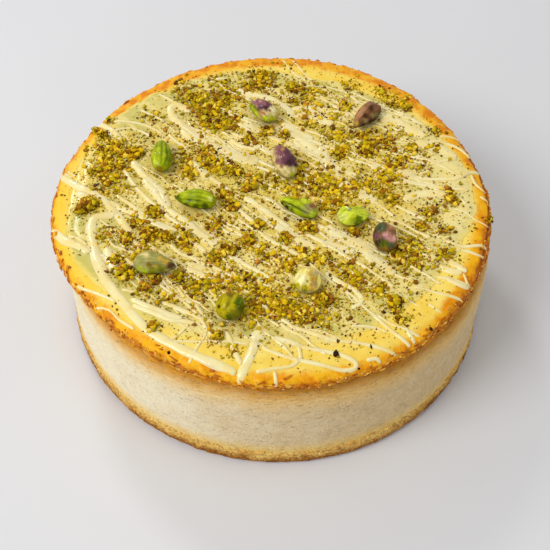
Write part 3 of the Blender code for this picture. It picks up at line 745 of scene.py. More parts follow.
# %% Cream strings
STRINGS = (
    (3.2, (-88, 48), (-83, 45.5), (-79, 42), (-75.5, 37)),
    (1.6, (-82, 49), (-74, 49.5), (-66, 48), (-60, 45), (-56, 42)),
    (1.5, (-79, 43), (-72, 45), (-66, 43), (-61, 40)),
    (4.8, (-43.5, 58), (-49, 62), (-53, 61), (-53, 57.5), (-50.5, 52.5), (-47, 48.5), (-42, 43.5), (-38, 39.5),
     (-33, 36), (-27.5, 32.5), (-20.5, 29), (-13.5, 25.5)),
    (6.5, (-47, 49), (-43, 45.5), (-39.5, 41.5)),
    (2.0, (-53, 41.5), (-48.5, 36.5), (-43.5, 32.5)),
    (2.6, (-48.5, 27.5), (-43.5, 26), (-39.5, 22.5), (-36, 18.5), (-31, 13.5), (-26, 9), (-21, 4)),
    (5.5, (-38, 20), (-35, 17), (-31, 13)),
    (4.0, (-68, 23.5), (-66.5, 20), (-63, 15), (-58, 9.5), (-54, 5), (-51, -1), (-48.5, -7)),
    (4.6, (-56.5, 6), (-54, 2.5)),
    (2.0, (-74.5, 23), (-72, 18), (-68.5, 11.5), (-64.5, 5.5), (-61.5, 2), (-57.5, -2.5), (-53, -6.5), (-49, -11),
     (-43.5, -15.5), (-39, -19)),
    (4.4, (-101, 11.5), (-95.5, 9), (-91, 6), (-86.5, 3.5), (-82.5, 1), (-78.5, -2.5), (-75, -6.5), (-71, -11.5),
     (-68, -16.5), (-64.5, -21)),
    (1.2, (-99.5, 14), (-95, 11.5)),
    (1.0, (-99.5, 15.5), (-93, 12.5)),
    (3.8, (-20.5, 75.5), (-18, 72.5), (-13.5, 71.5), (-9, 70.5), (-4, 69), (1, 65), (5, 61), (8, 57)),
    (1.5, (-32.5, 82), (-27.5, 82.5), (-22.5, 81)),
    (2.0, (-27.5, 34), (-16, 28.5), (-10, 24)),
    (2.5, (-23, 39), (-17, 34.5), (-9, 32.5)),
    (1.2, (1, 98.5), (4.5, 93), (8.5, 87.5), (13.5, 83)),
    (1.2, (5, 99), (10, 93), (13.5, 87.5), (17.5, 83)),
    (1.2, (22, 77), (24.5, 75), (26.5, 70.5), (29, 66)),
    (1.4, (32.5, 72.5), (36.5, 71.5), (40.5, 66.5)),
    (5.0, (6.5, 61.5), (14, 62.5), (22.5, 61.5), (29.5, 60), (35, 58)),
    (5.5, (10, 58), (16.5, 56), (22.5, 54), (27, 52)),
    (5.0, (1.5, 51), (7.5, 47), (12, 43.5), (17, 41)),
    (2.0, (7.5, 39.5), (13, 34), (17, 32.5)),
    (6.0, (20.5, 36.5), (22.5, 31), (24, 26), (26, 20.5), (28, 16.5), (31, 14.5)),
    (1.8, (70, 39.5), (76.5, 41), (83, 39.5), (88.5, 36), (92, 32)),
    (1.5, (78, 45.5), (84, 45), (89, 43)),
    (2.4, (95.5, 21.5), (90.5, 21.5), (87, 19), (82.5, 16.5), (76.5, 16), (70.5, 16), (65, 17), (59.5, 19)),
    (1.5, (91, 20), (92, 15), (95, 11), (97, 9)),
    (2.2, (53, 12.5), (59.5, 13.5), (66.5, 12.5), (73.5, 11), (81, 10), (88.5, 9.5)),
    (5.0, (58.5, 2), (61.5, 4.5), (67, 6.5), (73.5, 7), (79, 6.5)),
    (1.8, (85, 30), (76.5, 27), (70, 26), (61.5, 29)),
    (1.2, (73, 22.5), (67, 19)),
    (1.8, (42, 27), (47.5, 25), (51, 22.5)),
    (1.5, (93.5, 6.5), (97.5, 3.5)),
    (3.0, (-76, -3), (-69, -7.5), (-61.5, -11), (-54.5, -15), (-48.5, -17.5), (-44, -20)),
    (4.8, (-71.5, -9.5), (-76, -11), (-80, -12), (-82, -14), (-82, -20), (-80, -28), (-77, -37), (-73, -46),
     (-69, -52),
     (-63, -60), (-58, -66), (-52, -72), (-45, -77), (-38, -81), (-28, -86), (-20, -89.5), (-14.5, -92)),
    (1.4, (-68, 58), (-62, 54.5), (-56, 51)),
    (1.3, (-60, 70), (-55, 66.5), (-50, 64)),
    (4.8, (-99.5, -22), (-95, -25.5), (-90, -27.5), (-85, -30), (-80.5, -33)),
    (1.5, (-91.5, -23.5), (-86.5, -25.5), (-82.5, -29)),
    (1.6, (-88.5, -50.5), (-83, -51.5), (-77, -53.5), (-71.5, -56), (-66.5, -58.5)),
    (1.4, (-77, -63), (-73.5, -61.5), (-68.5, -63), (-64, -67.5), (-57.5, -72)),
    (2.0, (-64.5, -53), (-59, -54.5), (-56, -55)),
    (2.6, (-59, -61), (-54.5, -63), (-48.5, -65.5), (-42, -68.5), (-36.5, -69), (-32.5, -70)),
    (2.2, (-50, -58), (-43.5, -61), (-38, -63.5), (-31, -67), (-25, -69)),
    (2.0, (-48.5, -53), (-43, -56.5), (-36.5, -58.5), (-31, -61)),
    (3.4, (-50.5, -4), (-48.5, -7), (-45, -10), (-39.5, -14), (-35, -18.5), (-31, -22), (-27.5, -25.5)),
    (2.4, (-57.5, -13.5), (-53.5, -15.5), (-49, -18.5), (-43.5, -22.5), (-39.5, -24.5), (-34.5, -27.5), (-30.5, -31)),
    (2.0, (-46.5, -27.5), (-41.5, -32.5), (-36.5, -34.5), (-32.5, -38)),
    (3.6, (-38.5, -41), (-34, -42.5), (-29, -45.5), (-24, -47.5)),
    (2.0, (-24, -29.5), (-18.5, -33.5), (-12.5, -38), (-6, -42), (-2, -45)),
    (1.6, (-29.5, -38), (-22.5, -42), (-16, -46)),
    (3.4, (-15, 1.5), (-11.5, -0.5), (-7.5, -4), (-3.5, -7.5), (1, -11.5), (6, -16)),
    (2.4, (-20.5, -2.5), (-16.5, -6.5), (-12.5, -11), (-9, -14)),
    (7.0, (-4.5, -72.5), (-6.5, -75.5), (-7.5, -79)),
    (4.6, (-7, -77), (-9, -84), (-11.5, -90.5), (-13, -95.5), (-13.8, -101)),
    (2.5, (-19.5, -73.5), (-17, -79), (-14.5, -84.5), (-12.5, -88.5)),
    (1.5, (-27.5, -74.5), (-30.5, -80), (-32.5, -85), (-34, -88)),
    (1.7, (-34.8, -88.5), (-35.6, -94)),
    (1.4, (-35, -70.5), (-39.5, -75.5), (-43, -78)),
    (1.2, (-44, -77.5), (-36.5, -78), (-29.5, -78), (-20.5, -78), (-10, -79)),
    (1.5, (-29.5, -86), (-25.5, -88.5), (-20.5, -89.5)),
    (1.8, (0.8, -91), (1.6, -96.5), (1.2, -100)),
    (2.0, (-73.5, 1), (-67, -4), (-61, -9.5), (-57.5, -11.5)),
    (1.0, (-79.5, -13.5), (-76, -16.5), (-73.5, -19)),
    (1.8, (-6.5, 2.5), (-1, -1), (4.5, -6), (14, -10), (18.5, -13.5), (23.5, -16.5)),
    (1.5, (18.5, -8), (23.5, -11), (26, -13)),
    (1.6, (10, -9.5), (15.5, -13.5), (20, -16.5), (24, -17.5)),
    (2.0, (23.5, -14), (29.5, -19), (35, -22), (41.5, -24), (45, -28)),
    (2.0, (14, -20), (21, -24), (26.5, -28), (32.5, -33), (38, -36.5), (42.5, -40.5), (47.5, -45), (51, -48.5)),
    (5.0, (20.5, -24.5), (26, -25.5), (31, -27.5), (35, -29)),
    (2.2, (-6.5, -20.5), (-2.5, -23.5), (2.5, -26.5), (7.5, -29.5), (11, -32.5)),
    (2.0, (23.5, -35), (29.5, -38), (35, -42), (42, -47.5)),
    (2.5, (22, -41.5), (26.5, -45), (32.5, -49), (35, -51.5), (37, -54.5), (36, -58), (32.5, -60)),
    (1.8, (54.5, -1), (60, -4.5), (65, -8), (69, -11.5)),
    (1.8, (51, -9.5), (56, -11.5), (61.5, -15), (65, -17.5), (69, -20)),
    (1.5, (50, -12), (56, -15), (62, -19), (66, -22)),
    (1.8, (75.5, -22), (81, -24), (86.5, -23.5), (91.5, -22.5), (94, -24), (94.8, -26.5), (93.5, -29), (89, -28),
     (83.5, -26.5), (78, -26.5)),
    (4.0, (72, -36), (76.5, -38), (81, -38.5)),
    (1.5, (70, -41.5), (75.5, -42.5), (81, -44), (84.5, -45.5)),
    (1.3, (81.5, -39), (83, -43.5), (85, -46)),
    (1.5, (60, -48.5), (65.5, -49), (70.5, -50.5), (76, -51.5), (81.5, -53)),
    (1.0, (65, -56), (67.5, -58), (70.5, -60)),
    (1.8, (41.5, -63.5), (45, -66.5), (49, -70.5), (53, -74), (56.5, -77)),
    (1.4, (43.5, -63.5), (49, -67), (54, -69), (58, -71), (61, -72.5)),
    (1.8, (54.5, -68.5), (56.5, -72), (58.5, -75.5)),
    (2.0, (7.5, -70), (14, -72.5), (22.5, -75.5), (32.5, -76.5), (40.5, -78), (46, -79.5), (50.5, -81.5)),
    (1.5, (10, -72), (17, -72), (22.5, -73.5), (29.5, -76)),
    (2.2, (0.5, -76), (7.5, -78), (14, -80), (22.5, -81.5), (29.5, -83.5), (33.5, -86), (33, -88.5), (28, -89.5),
     (21, -88), (14, -86.5), (7.5, -85), (0.5, -82.5), (-4.5, -80)),
    (2.0, (10, -77.5), (11, -82.5), (11, -85), (7.5, -88.5), (0.5, -90), (-6.5, -91.5)),
    (2.0, (38, -84.5), (42, -83.5), (44, -85.5)),
    (1.2, (32.5, -69), (42, -69), (47, -71)),
    (1.0, (81, -2.5), (86, -4.5), (90.5, -8.5), (96, -11.5)),
    (9.0, (4, 59), (10, 58.5), (17, 58), (24, 57.5), (31, 56)),
    (8.0, (-20, 50), (-13, 48), (-5, 48), (1, 47)),
    (8.0, (2, 48), (8, 44), (14, 38), (20, 32), (25, 26)),
    (8.0, (-30, 34), (-23, 31), (-16, 27), (-9, 25)),
    (7.0, (47, 59), (54, 56), (60, 52), (66, 48), (71, 44)),
    (6.0, (66, 40), (74, 38), (80, 35), (85, 31)),
    (7.0, (28, 13), (34, 9), (40, 5), (46, 1)),
    (10.0, (24, -17), (31, -21), (37, -25), (43, -30)),
    (7.0, (40, -30), (46, -35), (52, -41)),
    (7.0, (-47, 45), (-42, 41), (-36, 38), (-30, 37)),
    (6.0, (-62, 12), (-57, 6), (-53, 0), (-49, -6)),
    (7.0, (-42, -13), (-36, -18), (-30, -23), (-26, -27)),
    (8.0, (-38, -38), (-32, -41), (-25, -44), (-18, -47)),
    (6.0, (-74, -30), (-71, -37), (-68, -44)),
    (3.5, (72, -31), (78, -34), (83, -38)),
    (3.0, (74, -42), (79, -45), (84, -46)),
    (6.0, (0, -14), (6, -19), (12, -24), (18, -28)),
    (3.0, (-60, -58), (-52, -62), (-45, -65), (-38, -68)),
    (6.0, (44, 24), (51, 22), (58, 20), (65, 17)),
    (4.0, (-92, 2), (-87, 0), (-83, -3)),
)

# %% [markdown]
# A string has to follow the skin, also over the lip. Each traced line is first smoothed, then
# every point of the tube round it is laid on the surface by itself, so no string hangs in the
# air. Points traced in the picture are slid first, because the top isn't quite level.

# %% Laying strings on the cake
MAP_LEAN = 0.78
MAP_HEIGHT = 63 * MM
BEDDED = 0.15 * MM
MAIN_PITCH, THIN_PITCH = 0.9 * MM, 1.5 * MM


def ground(x, y, height=0.0):
    """A point above whatever covers the skin at (x, y), glaze or nothing."""
    return wrap(x, y, glaze_height(x, y) + height)


def smooth_path(points, pitch):
    """Points about a pitch apart on a smooth curve through the given ones, in metres."""
    path = []
    for k in range(len(points) - 1):
        near = [points[min(max(k + i, 0), len(points) - 1)] for i in (-1, 0, 1, 2)]
        steps = max(2, round(math.dist(near[1], near[2]) * MM / pitch))
        for step in range(steps):
            t = step / steps
            weights = (-t**3 + 2 * t**2 - t, 3 * t**3 - 5 * t**2 + 2, -3 * t**3 + 4 * t**2 + t, t**3 - t**2)
            path.append(tuple(sum(w * p[axis] for w, p in zip(weights, near)) / 2 * MM for axis in (0, 1)))
    path.append(tuple(c * MM for c in points[-1]))
    return path


def string_part(path, width, seed, sides=12):
    """Points and faces of one bead of cream along a path on the top."""
    points, faces = [], []
    last = len(path) - 1
    flat = 0.8 + 1.2 * smooth_step((width - 3) / 3)
    taper = max(2, round(width * 0.6 * MM / max(math.dist(path[0], path[1]), 0.0001)))
    for k, (x, y) in enumerate(path):
        ahead, behind = path[min(k + 1, last)], path[max(k - 1, 0)]
        heading = math.atan2(ahead[1] - behind[1], ahead[0] - behind[0])
        swell = 1 + 0.28 * noise.noise(Vector((x / (9 * MM), y / (9 * MM), seed)))
        end = min(1.0, (min(k, last - k) + 0.25) / taper)
        half = width * MM / 2 * swell * math.sqrt(1 - (1 - end) ** 2)
        rise = 0.75 * half / (1 + (half / (1.8 * MM)) ** 2)
        for side in range(sides):
            turn = side * math.tau / sides
            across = half * math.cos(turn)
            up = math.copysign(abs(math.sin(turn)) ** flat, math.sin(turn))
            px, py = x - across * math.sin(heading), y + across * math.cos(heading)
            height = (rise + BEDDED) * up if up > 0 else 2 * BEDDED * up
            points.append(ground(px, py, height - BEDDED))
    for k in range(last):
        a, b = k * sides, (k + 1) * sides
        faces += [(a + i, a + (i + 1) % sides, b + (i + 1) % sides, b + i) for i in range(sides)]
    faces.append(tuple(reversed(range(sides))))
    faces.append(tuple(range(last * sides, (last + 1) * sides)))
    return points, faces


def from_map(point):
    """Traced points lie where the photograph shows them; this slides them down onto the skin."""
    x, y = point
    reach = math.hypot(x, y)
    if reach < 1:
        return point
    lift = (wrap(x * MM, y * MM, 1 * MM).z - MAP_HEIGHT) / MM
    target = (x, y - MAP_LEAN * lift)
    laid = wrap(target[0] * MM, target[1] * MM, 0)
    return target[0] * 2 - laid.x / MM, target[1] * 2 - laid.y / MM


strings = []
for number, (width, *points) in enumerate(STRINGS):
    strings.append(string_part(smooth_path([from_map(p) for p in points], MAIN_PITCH), width, number))
print(len(strings), "main strings")

# %% [markdown]
# Between the main strings lie many thin ones, from quick passes of the piping bag to and fro.
# They run nearly side by side, steeper on the left than on the right, so a seeded rule lays them:
# each is a chord of the top, cut to a random part of its length and bent a little.

# %% Thin strings by rule
FURTHEST_OUT = 80
THIN_REACH = 88
THIN_WIDTHS = (0.5, 0.7, 0.9, 1.2, 1.7)


def thin_strings(count, seed):
    """Parts of thin strings, side by side across the top; all lengths are in millimetres."""
    draw = random.Random(seed)
    made = []
    for number in range(count):
        offset = -FURTHEST_OUT + 2 * FURTHEST_OUT * (number + draw.uniform(-0.4, 0.4)) / count
        heading = SWEEP + math.radians(13 * offset / FURTHEST_OUT + draw.uniform(-6, 6))
        half = math.sqrt(max(0, THIN_REACH**2 - offset**2))
        start = draw.uniform(-1.0, 0.5) * half
        end = min(half, start + draw.uniform(22, 80))
        bow = draw.uniform(-4, 4)
        points = []
        for k in range(9):
            along = start + (end - start) * k / 8
            across = offset + bow * math.sin(math.pi * k / 8) + draw.uniform(-1.3, 1.3)
            points.append((along * math.cos(heading) - across * math.sin(heading),
                           along * math.sin(heading) + across * math.cos(heading)))
        made.append(string_part(smooth_path(points, THIN_PITCH), draw.choice(THIN_WIDTHS), seed + number, 8))
    return made


strings += thin_strings(125, 40)


def cream_finish():
    made, place = new_material("cream")
    tint = place.cloud(9, detail=2)
    colour = tint.step(0.35, 0.65).blend(srgb(251, 225, 146), srgb(255, 238, 174))
    return finish_material(made, colour, 0.26, place.cloud(2.2, detail=2), 0.12, Coat_Weight=0.3,
                           Coat_Roughness=0.06, Specular_IOR_Level=0.3, **soft(0.15, 2.5, 2, 1))


hand_over("cream_strings", joined("cream_strings", strings), cream_finish())

# %% [markdown]
# The whole kernels are peeled pistachios, and no two are alike. Each starts as a teardrop of rings. Grooves run along
# it at given turns round its axis, where 90 degrees is the top, and flat faces are cut by planes. Its skin is painted
# on the points as soft spots of a few named tones, because noise alone never puts purple skin on one half only; some
# of the spots are painted highlights and painted shade. It lies at its node's place.

# %% Whole kernels
# Length, width and height in millimetres, heading and lean in degrees.
KERNELS = (
    (19, 10, 8.5, 131, 6), (19.5, 10.5, 9.5, 233, 8), (21, 9.6, 8, 95, 4), (22, 10.2, 8.5, 108, 3),
    (19, 9.2, 8, 170, 3), (19.5, 9, 7, 150, 2), (14.6, 11, 7.6, 8, 0), (16.8, 10.8, 8.5, 92, 3),
    (18.6, 10.4, 7.5, -6, 2), (13.5, 11.5, 8, 72, 4), (14, 11.5, 10, 70, 8),
)
NODE_BOXES = [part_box(f"pistachio_{number:02d}") for number in range(1, 12)]
# By kernel: the heading and rise of each flat cut, in degrees, and its distance in half sizes.
FACETS = {
    2: ((-37, 36, 0.34), (143, 46, 0.44), (53, 36, 0.72)), 6: ((-35, 50, 0.52),),
    7: ((195, 60, 0.5), (20, 58, 0.52), (-75, 34, 0.62)), 8: ((-90, 62, 0.78), (60, 40, 0.8)),
    9: ((-105, 66, 0.5), (-60, 22, 0.74)), 10: ((205, 55, 0.55), (-15, 50, 0.6), (-95, 22, 0.7)),
}
# By kernel: each groove's turn round the axis, depth in half sizes and width in degrees.
GROOVES = {
    1: ((36, 0.10, 9), (120, 0.05, 9)), 2: ((60, 0.12, 8), (96, 0.10, 6), (116, 0.12, 8), (140, 0.10, 7),
        (38, 0.08, 7)),
    3: ((96, 0.15, 5), (62, 0.10, 6), (126, 0.10, 6), (78, 0.04, 4)), 4: ((72, 0.08, 7), (112, 0.07, 6)),
    5: ((64, 0.12, 7), (36, 0.12, 6), (96, 0.08, 6)), 6: ((40, 0.30, 8), (100, 0.08, 8)), 7: ((60, 0.06, 9),),
    8: ((60, 0.07, 9), (110, 0.06, 8)), 9: ((118, 0.10, 5), (60, 0.05, 6)), 10: ((80, 0.07, 10), (120, 0.06, 7)),
    11: ((92, 0.16, 7), (48, 0.08, 9), (134, 0.10, 8)),
}
# By kernel: a bite's place along, its length and depth in half sizes, and the side it is on.
NOTCHES = {6: (0.28, 0.25, 0.5, 150), 7: (-0.1, 0.3, 0.42, 15), 8: (-0.15, 0.22, 0.25, 180)}

# %% [markdown]
# Skin and flesh need only a few tones, mixed once and named. A kernel has a ground tone, and spots over it: how far
# right and how high the spot is as seen from the front, its radius in millimetres and its tone. Not every spot is
# skin: some small pale ones are painted highlights, and some dark ones along the lower edge or the right side are
# painted shade. Ragged edges come from noise when the spots are painted.

# %% Tones and spots of the kernels' skin
TONES = {
    "seed": (60, 44, 10), "bark": (92, 58, 30), "plum": (80, 46, 60), "grape": (110, 66, 82), "slate": (82, 92, 62),
    "moss": (86, 102, 0), "khaki": (122, 122, 4), "leaf": (118, 140, 0), "bronze": (146, 114, 20),
    "russet": (150, 104, 72), "mauve": (154, 98, 112), "olive": (162, 180, 4), "ochre": (190, 174, 4),
    "sage": (168, 164, 96), "clay": (202, 142, 106), "rose": (208, 150, 148), "tan": (190, 158, 104),
    "lime": (190, 202, 34), "sprout": (214, 226, 60), "primrose": (228, 234, 122), "amber": (220, 178, 68),
    "cream": (228, 208, 146), "butter": (250, 234, 132), "ivory": (250, 242, 190),
}
# Some spots are painted light: kernel 4's small rose spot and kernel 5's primrose spot are painted highlights, and the
# moss spots low on kernel 5 and the dark spots on the right of kernels 3 and 11 are painted shade.
SPOTS = {
    1: ("cream", (-5.1, 1.8, 2, "olive"), (-4, -0.8, 2.1, "olive"), (-2.1, -2.9, 1.6, "lime"),
        (-3.6, 4, 1.8, "mauve"), (-1.3, 2.9, 2.7, "mauve"), (1.3, 2.2, 2.7, "mauve"), (3.5, 1.1, 2, "grape"),
        (-0.2, 0.4, 1.9, "grape"), (2, 0, 1.6, "plum"), (-1, 3.9, 0.9, "rose"), (-3.8, 4.9, 0.7, "cream"),
        (0.2, -2.7, 1.5, "clay"), (5.4, -0.5, 2, "ivory"), (5, -5.3, 1.8, "lime"), (1.7, -5.1, 1.5, "lime"),
        (3.9, -1.3, 0.7, "russet")),
    2: ("russet", (-5.5, -2, 1.8, "clay"), (-3.6, 0.6, 2.1, "clay"), (-1, 3.6, 1.9, "clay"),
        (0.9, 5.5, 1.6, "russet"), (2.8, 3.6, 1.2, "bark"), (-0.2, -0.2, 1.2, "bark"), (3.5, 0.6, 1, "tan"),
        (-0.2, -2.4, 1.1, "tan"), (-4.7, -4.3, 1.3, "amber"), (5.4, 1.3, 1.1, "sage"), (2.8, -2.4, 1.3, "bark"),
        (-1, -4.8, 1.1, "bark")),
    3: ("olive", (-3.2, -0.9, 1.9, "lime"), (-1.7, -4.3, 1.6, "sprout"), (-1.3, 2.1, 1.3, "lime"),
        (3.6, 0.6, 1.7, "leaf"), (4, -2.8, 1.6, "leaf"), (1.4, 4.3, 1.7, "olive"), (-4.7, -5.8, 1.4, "ochre"),
        (-0.2, -7.7, 1.4, "bronze"), (1.7, -0.9, 1.1, "lime")),
    4: ("cream", (-2.3, 6, 2.2, "mauve"), (-1.7, 3, 2.7, "mauve"), (1.3, 4.5, 2.5, "grape"), (2, 1.1, 2.9, "grape"),
        (4.6, 0.7, 2, "plum"), (-0.2, -1.2, 2.3, "grape"), (2.8, -1.9, 2.4, "plum"), (5.4, -2.5, 1.5, "plum"),
        (-0.8, 5.2, 0.9, "clay"), (3.9, 3.7, 0.7, "rose"), (-2.9, -1.2, 1.4, "mauve"), (-1, -3.6, 0.9, "russet"),
        (4.3, -7.9, 1.7, "lime"), (6.9, -4.9, 1.2, "lime")),
    5: ("olive", (-5.2, 2.2, 1.9, "lime"), (0.4, 1.5, 1.9, "olive"), (4.9, 0.7, 2.1, "lime"), (6.7, 0, 1, "primrose"),
        (-9, 0.7, 1.8, "moss"), (-7.6, -1.2, 1.6, "leaf"), (-4.1, -3.6, 1.7, "moss"), (0.4, -4, 1.7, "moss"),
        (4.5, -3.6, 1.6, "moss"), (-2.6, -1.2, 1, "leaf"), (1.5, -1.2, 0.9, "leaf")),
    6: ("olive", (-7.8, 3.4, 1.9, "sprout"), (-5.2, 2.6, 1.8, "lime"), (-0.7, 0.9, 1.4, "lime"),
        (2.3, 2, 1.6, "sprout"), (5.3, 2.2, 1.4, "lime"), (4.6, -1.7, 2.5, "sage"), (6.8, 0.2, 1.8, "russet"),
        (6.3, -4.2, 1.3, "lime"), (-7.4, 0.7, 1.1, "seed"), (-5.4, -1, 1.2, "seed"), (-2.9, -2.3, 0.9, "moss"),
        (-2.6, -4, 1.2, "leaf")),
    7: ("sprout", (-5.2, -0.6, 2.7, "primrose"), (-4.9, 1.9, 1.9, "sprout"), (2.4, 1.9, 2.3, "sprout"),
        (4.6, 3, 1.3, "sprout"), (-2, 2.3, 0.9, "leaf"), (-0.6, -1.5, 1.7, "lime"), (2.4, -2.2, 1.7, "leaf"),
        (1.3, -4.1, 1.1, "leaf"), (-4.4, -4.3, 1.5, "sprout")),
    8: ("russet", (-2.3, 3.7, 2.7, "slate"), (-1.9, 5.8, 1.6, "slate"), (3, 4.3, 1.8, "clay"),
        (3.7, 1.3, 1.4, "russet"), (-5, 1.3, 1.5, "bark"), (-4.7, -0.5, 1.4, "grape"), (0, -0.5, 1.9, "rose"),
        (2.6, -1.3, 1.7, "rose"), (-1.1, -1.7, 1.2, "mauve"), (-3.4, -3.5, 1.8, "seed"), (-0.8, -4.3, 2.1, "moss"),
        (2.2, -4.3, 1.5, "slate"), (-0.4, -6.2, 1.2, "bronze")),
    9: ("sage", (-4.7, 3.7, 2.3, "cream"), (-6.1, 2.1, 1.9, "sage"), (-0.8, 2.1, 2.4, "sage"),
        (-2, -0.2, 1.2, "bronze"), (2.2, 2.8, 0.9, "amber"), (5.5, 2.1, 0.9, "amber"), (4.4, 1, 0.9, "amber"),
        (0.7, -0.5, 0.8, "amber"), (-6.1, -1.7, 1.1, "lime"), (-0.8, -2.4, 1.7, "khaki"), (2.9, -1.7, 1.7, "khaki"),
        (-3.8, -3, 1.2, "olive"), (6.7, -0.2, 1.4, "bark"), (9, 0.8, 1.3, "bark")),
    10: ("butter", (-6, 2.9, 1.5, "sprout"), (1.1, 2.5, 1.7, "amber"), (2.9, 2.4, 1.7, "cream"),
        (2.1, 0.1, 1.6, "amber"), (-2.8, 0.1, 2.3, "ivory"), (-0.5, -1, 0.6, "bronze"), (-1.3, -4, 1.5, "ochre"),
        (-4.8, -3.1, 1.3, "ochre"), (1.7, -3.6, 1.5, "amber"), (2.9, -2.1, 1.3, "tan")),
    11: ("ochre", (-4.7, 1.7, 2.5, "ochre"), (-4.1, -1.3, 1.9, "ochre"), (-0.7, 5.4, 1.2, "bronze"),
        (-1.5, 3.2, 0.9, "ochre"), (0.4, 1.7, 1.6, "ochre"), (3.8, 2.4, 2, "leaf"), (4.4, -0.6, 2.1, "moss"),
        (1.9, -2.8, 2, "khaki"), (-4.7, 0.2, 0.8, "seed"), (-0.4, -3.9, 1.3, "moss")),
}

# %% [markdown]
# A kernel's point is worked out from how far along it lies and its turn round the axis: first the round teardrop, then
# grooves, dents, bites and flat cuts. The paint is worked out at the same point, with painted shade where it lies deep
# in a groove or low on the glaze.

# %% The kernels' shape and paint
TAPERS = {1: 0.26, 2: 0.52, 3: 0.3, 9: 0.36}
SEEN_BACK, SEEN_UP = math.sin(VIEW_HEIGHT), math.cos(VIEW_HEIGHT)
KERNEL_BEDDED = 0.5 * MM
SPOT_HEIGHT = 68 * MM


def kernel_point(number, along, turn, cuts):
    """A point of the kernel's even shape, and how deep it lies in a groove, in half sizes."""
    own = Vector((number * 9.1, number * 3.7, number * 5.3))
    across, up = math.cos(turn), math.sin(turn)
    girth = (1 - along * along) ** (0.5 + 0.16 * max(0.0, along)) * (1 - TAPERS.get(number, 0.2) * along)
    deep = 0.0
    for where, depth, width in GROOVES[number]:
        sway = 4 * noise.noise(own + Vector((along * 1.5, where, 0)))
        off = (math.degrees(turn) - where - sway + 180) % 360 - 180
        deep += depth * math.exp(-(off / width) ** 2) * (1 - along**2) ** 0.6
    round_place = Vector((along * 1.3, across * 2.4, up * 2.4))
    dent = 0.05 * noise.noise(own + round_place) + 0.025 * noise.noise(own + round_place * 2.6)
    reach = girth * (1 - deep + dent)
    if number in NOTCHES:
        where, width, depth, side = NOTCHES[number]
        facing = max(0.0, math.cos(turn - math.radians(side)))
        reach *= 1 - depth * math.exp(-((along - where) / width) ** 2) * facing**2
    point = Vector((along, across * reach, up * reach))
    for normal, limit in cuts:
        over = point.dot(normal) - limit
        if over > 0:
            point -= normal * over * 0.9
    return point, deep


def kernel_paint(number, point, deep, level):
    """The painted colour at a point, from spots laid out as seen across the cake from the front, with painted shade
    deep in grooves and low down.
    """
    seen = (point.x / MM, (point.y * SEEN_BACK + (point.z - SPOT_HEIGHT) * SEEN_UP) / MM)
    tones = {name: Vector(srgb(*tone)) for name, tone in TONES.items()}
    colour = tones[SPOTS[number][0]]
    ragged = 1 + 0.35 * noise.noise(point / (0.8 * MM)) + 0.3 * noise.noise(point / (1.9 * MM))
    for right, high, radius, tone in SPOTS[number][1:]:
        away = math.hypot(seen[0] - right, seen[1] - high) * ragged
        colour = colour.lerp(tones[tone], smooth_step((radius - away) / (0.9 * radius) + 0.5))
    # Painted shade: darker towards the kernel's foot and deep in its grooves.
    under = 0.08 + 0.92 * smooth_step((level - 0.12) / 0.48)
    return (*(colour * max(0.25, 1 - 3.2 * deep) * under), 1.0)


RINGS, SIDES = 40, 56


def kernel_mesh(number, spec):
    """One kernel at its node's place, with its paint stored on its points."""
    length, width, height, heading, lean = spec
    turn_over = Matrix.Rotation(math.radians(heading), 3, "Z") @ Matrix.Rotation(math.radians(lean), 3, "Y")
    cuts = []
    for azimuth, elevation, limit in FACETS.get(number, ()):
        level = math.radians(azimuth - heading)
        rise = math.radians(elevation)
        out = Vector((math.cos(rise) * math.cos(level), math.cos(rise) * math.sin(level), math.sin(rise)))
        cuts.append((out, limit))
    rows, depths = [], []
    for k in range(1, RINGS):
        along = -math.cos(math.pi * k / RINGS)
        pairs = [kernel_point(number, along, i * math.tau / SIDES, cuts) for i in range(SIDES)]
        rows.append([pair[0] for pair in pairs])
        depths += [pair[1] for pair in pairs]

    def placed(point):
        half = Vector((length / 2, width / 2, height / 2)) * MM
        return turn_over @ Vector((point.x * half.x, point.y * half.y, point.z * half.z - 0.8 * MM * point.x**2))

    rows = [[placed(p) for p in row] for row in rows]
    mesh = rows_to_mesh(f"kernel_{number}", rows, placed(Vector((-1, 0, 0))), placed(Vector((1, 0, 0))))
    low, high = NODE_BOXES[number - 1]
    ends = [(min(v.co[k] for v in mesh.vertices), max(v.co[k] for v in mesh.vertices)) for k in range(3)]
    flat = [(low[k] + high[k] - ends[k][0] - ends[k][1]) / 2 for k in range(2)]
    shift = Vector((*flat, low[2] - KERNEL_BEDDED - ends[2][0]))
    mesh.transform(Matrix.Translation(shift))
    paint = mesh.attributes.new("paint", "FLOAT_COLOR", "POINT")
    for vertex, spot, deep in zip(mesh.vertices, paint.data, depths + [0, 0]):
        level = (vertex.co.z - low[2] + KERNEL_BEDDED) / (height * MM)
        spot.color = kernel_paint(number, vertex.co - Vector((shift.x, shift.y, 0)), deep, level)
    return mesh


# %% [markdown]
# The paint gives the large tones only. Fine streaks along the kernel give it relief, and its colour is darker in their
# hollows and lighter on their ridges: partly the skin's own streaky tone, partly painted shade and painted light. A
# thin coat on the surface gives a soft shine.

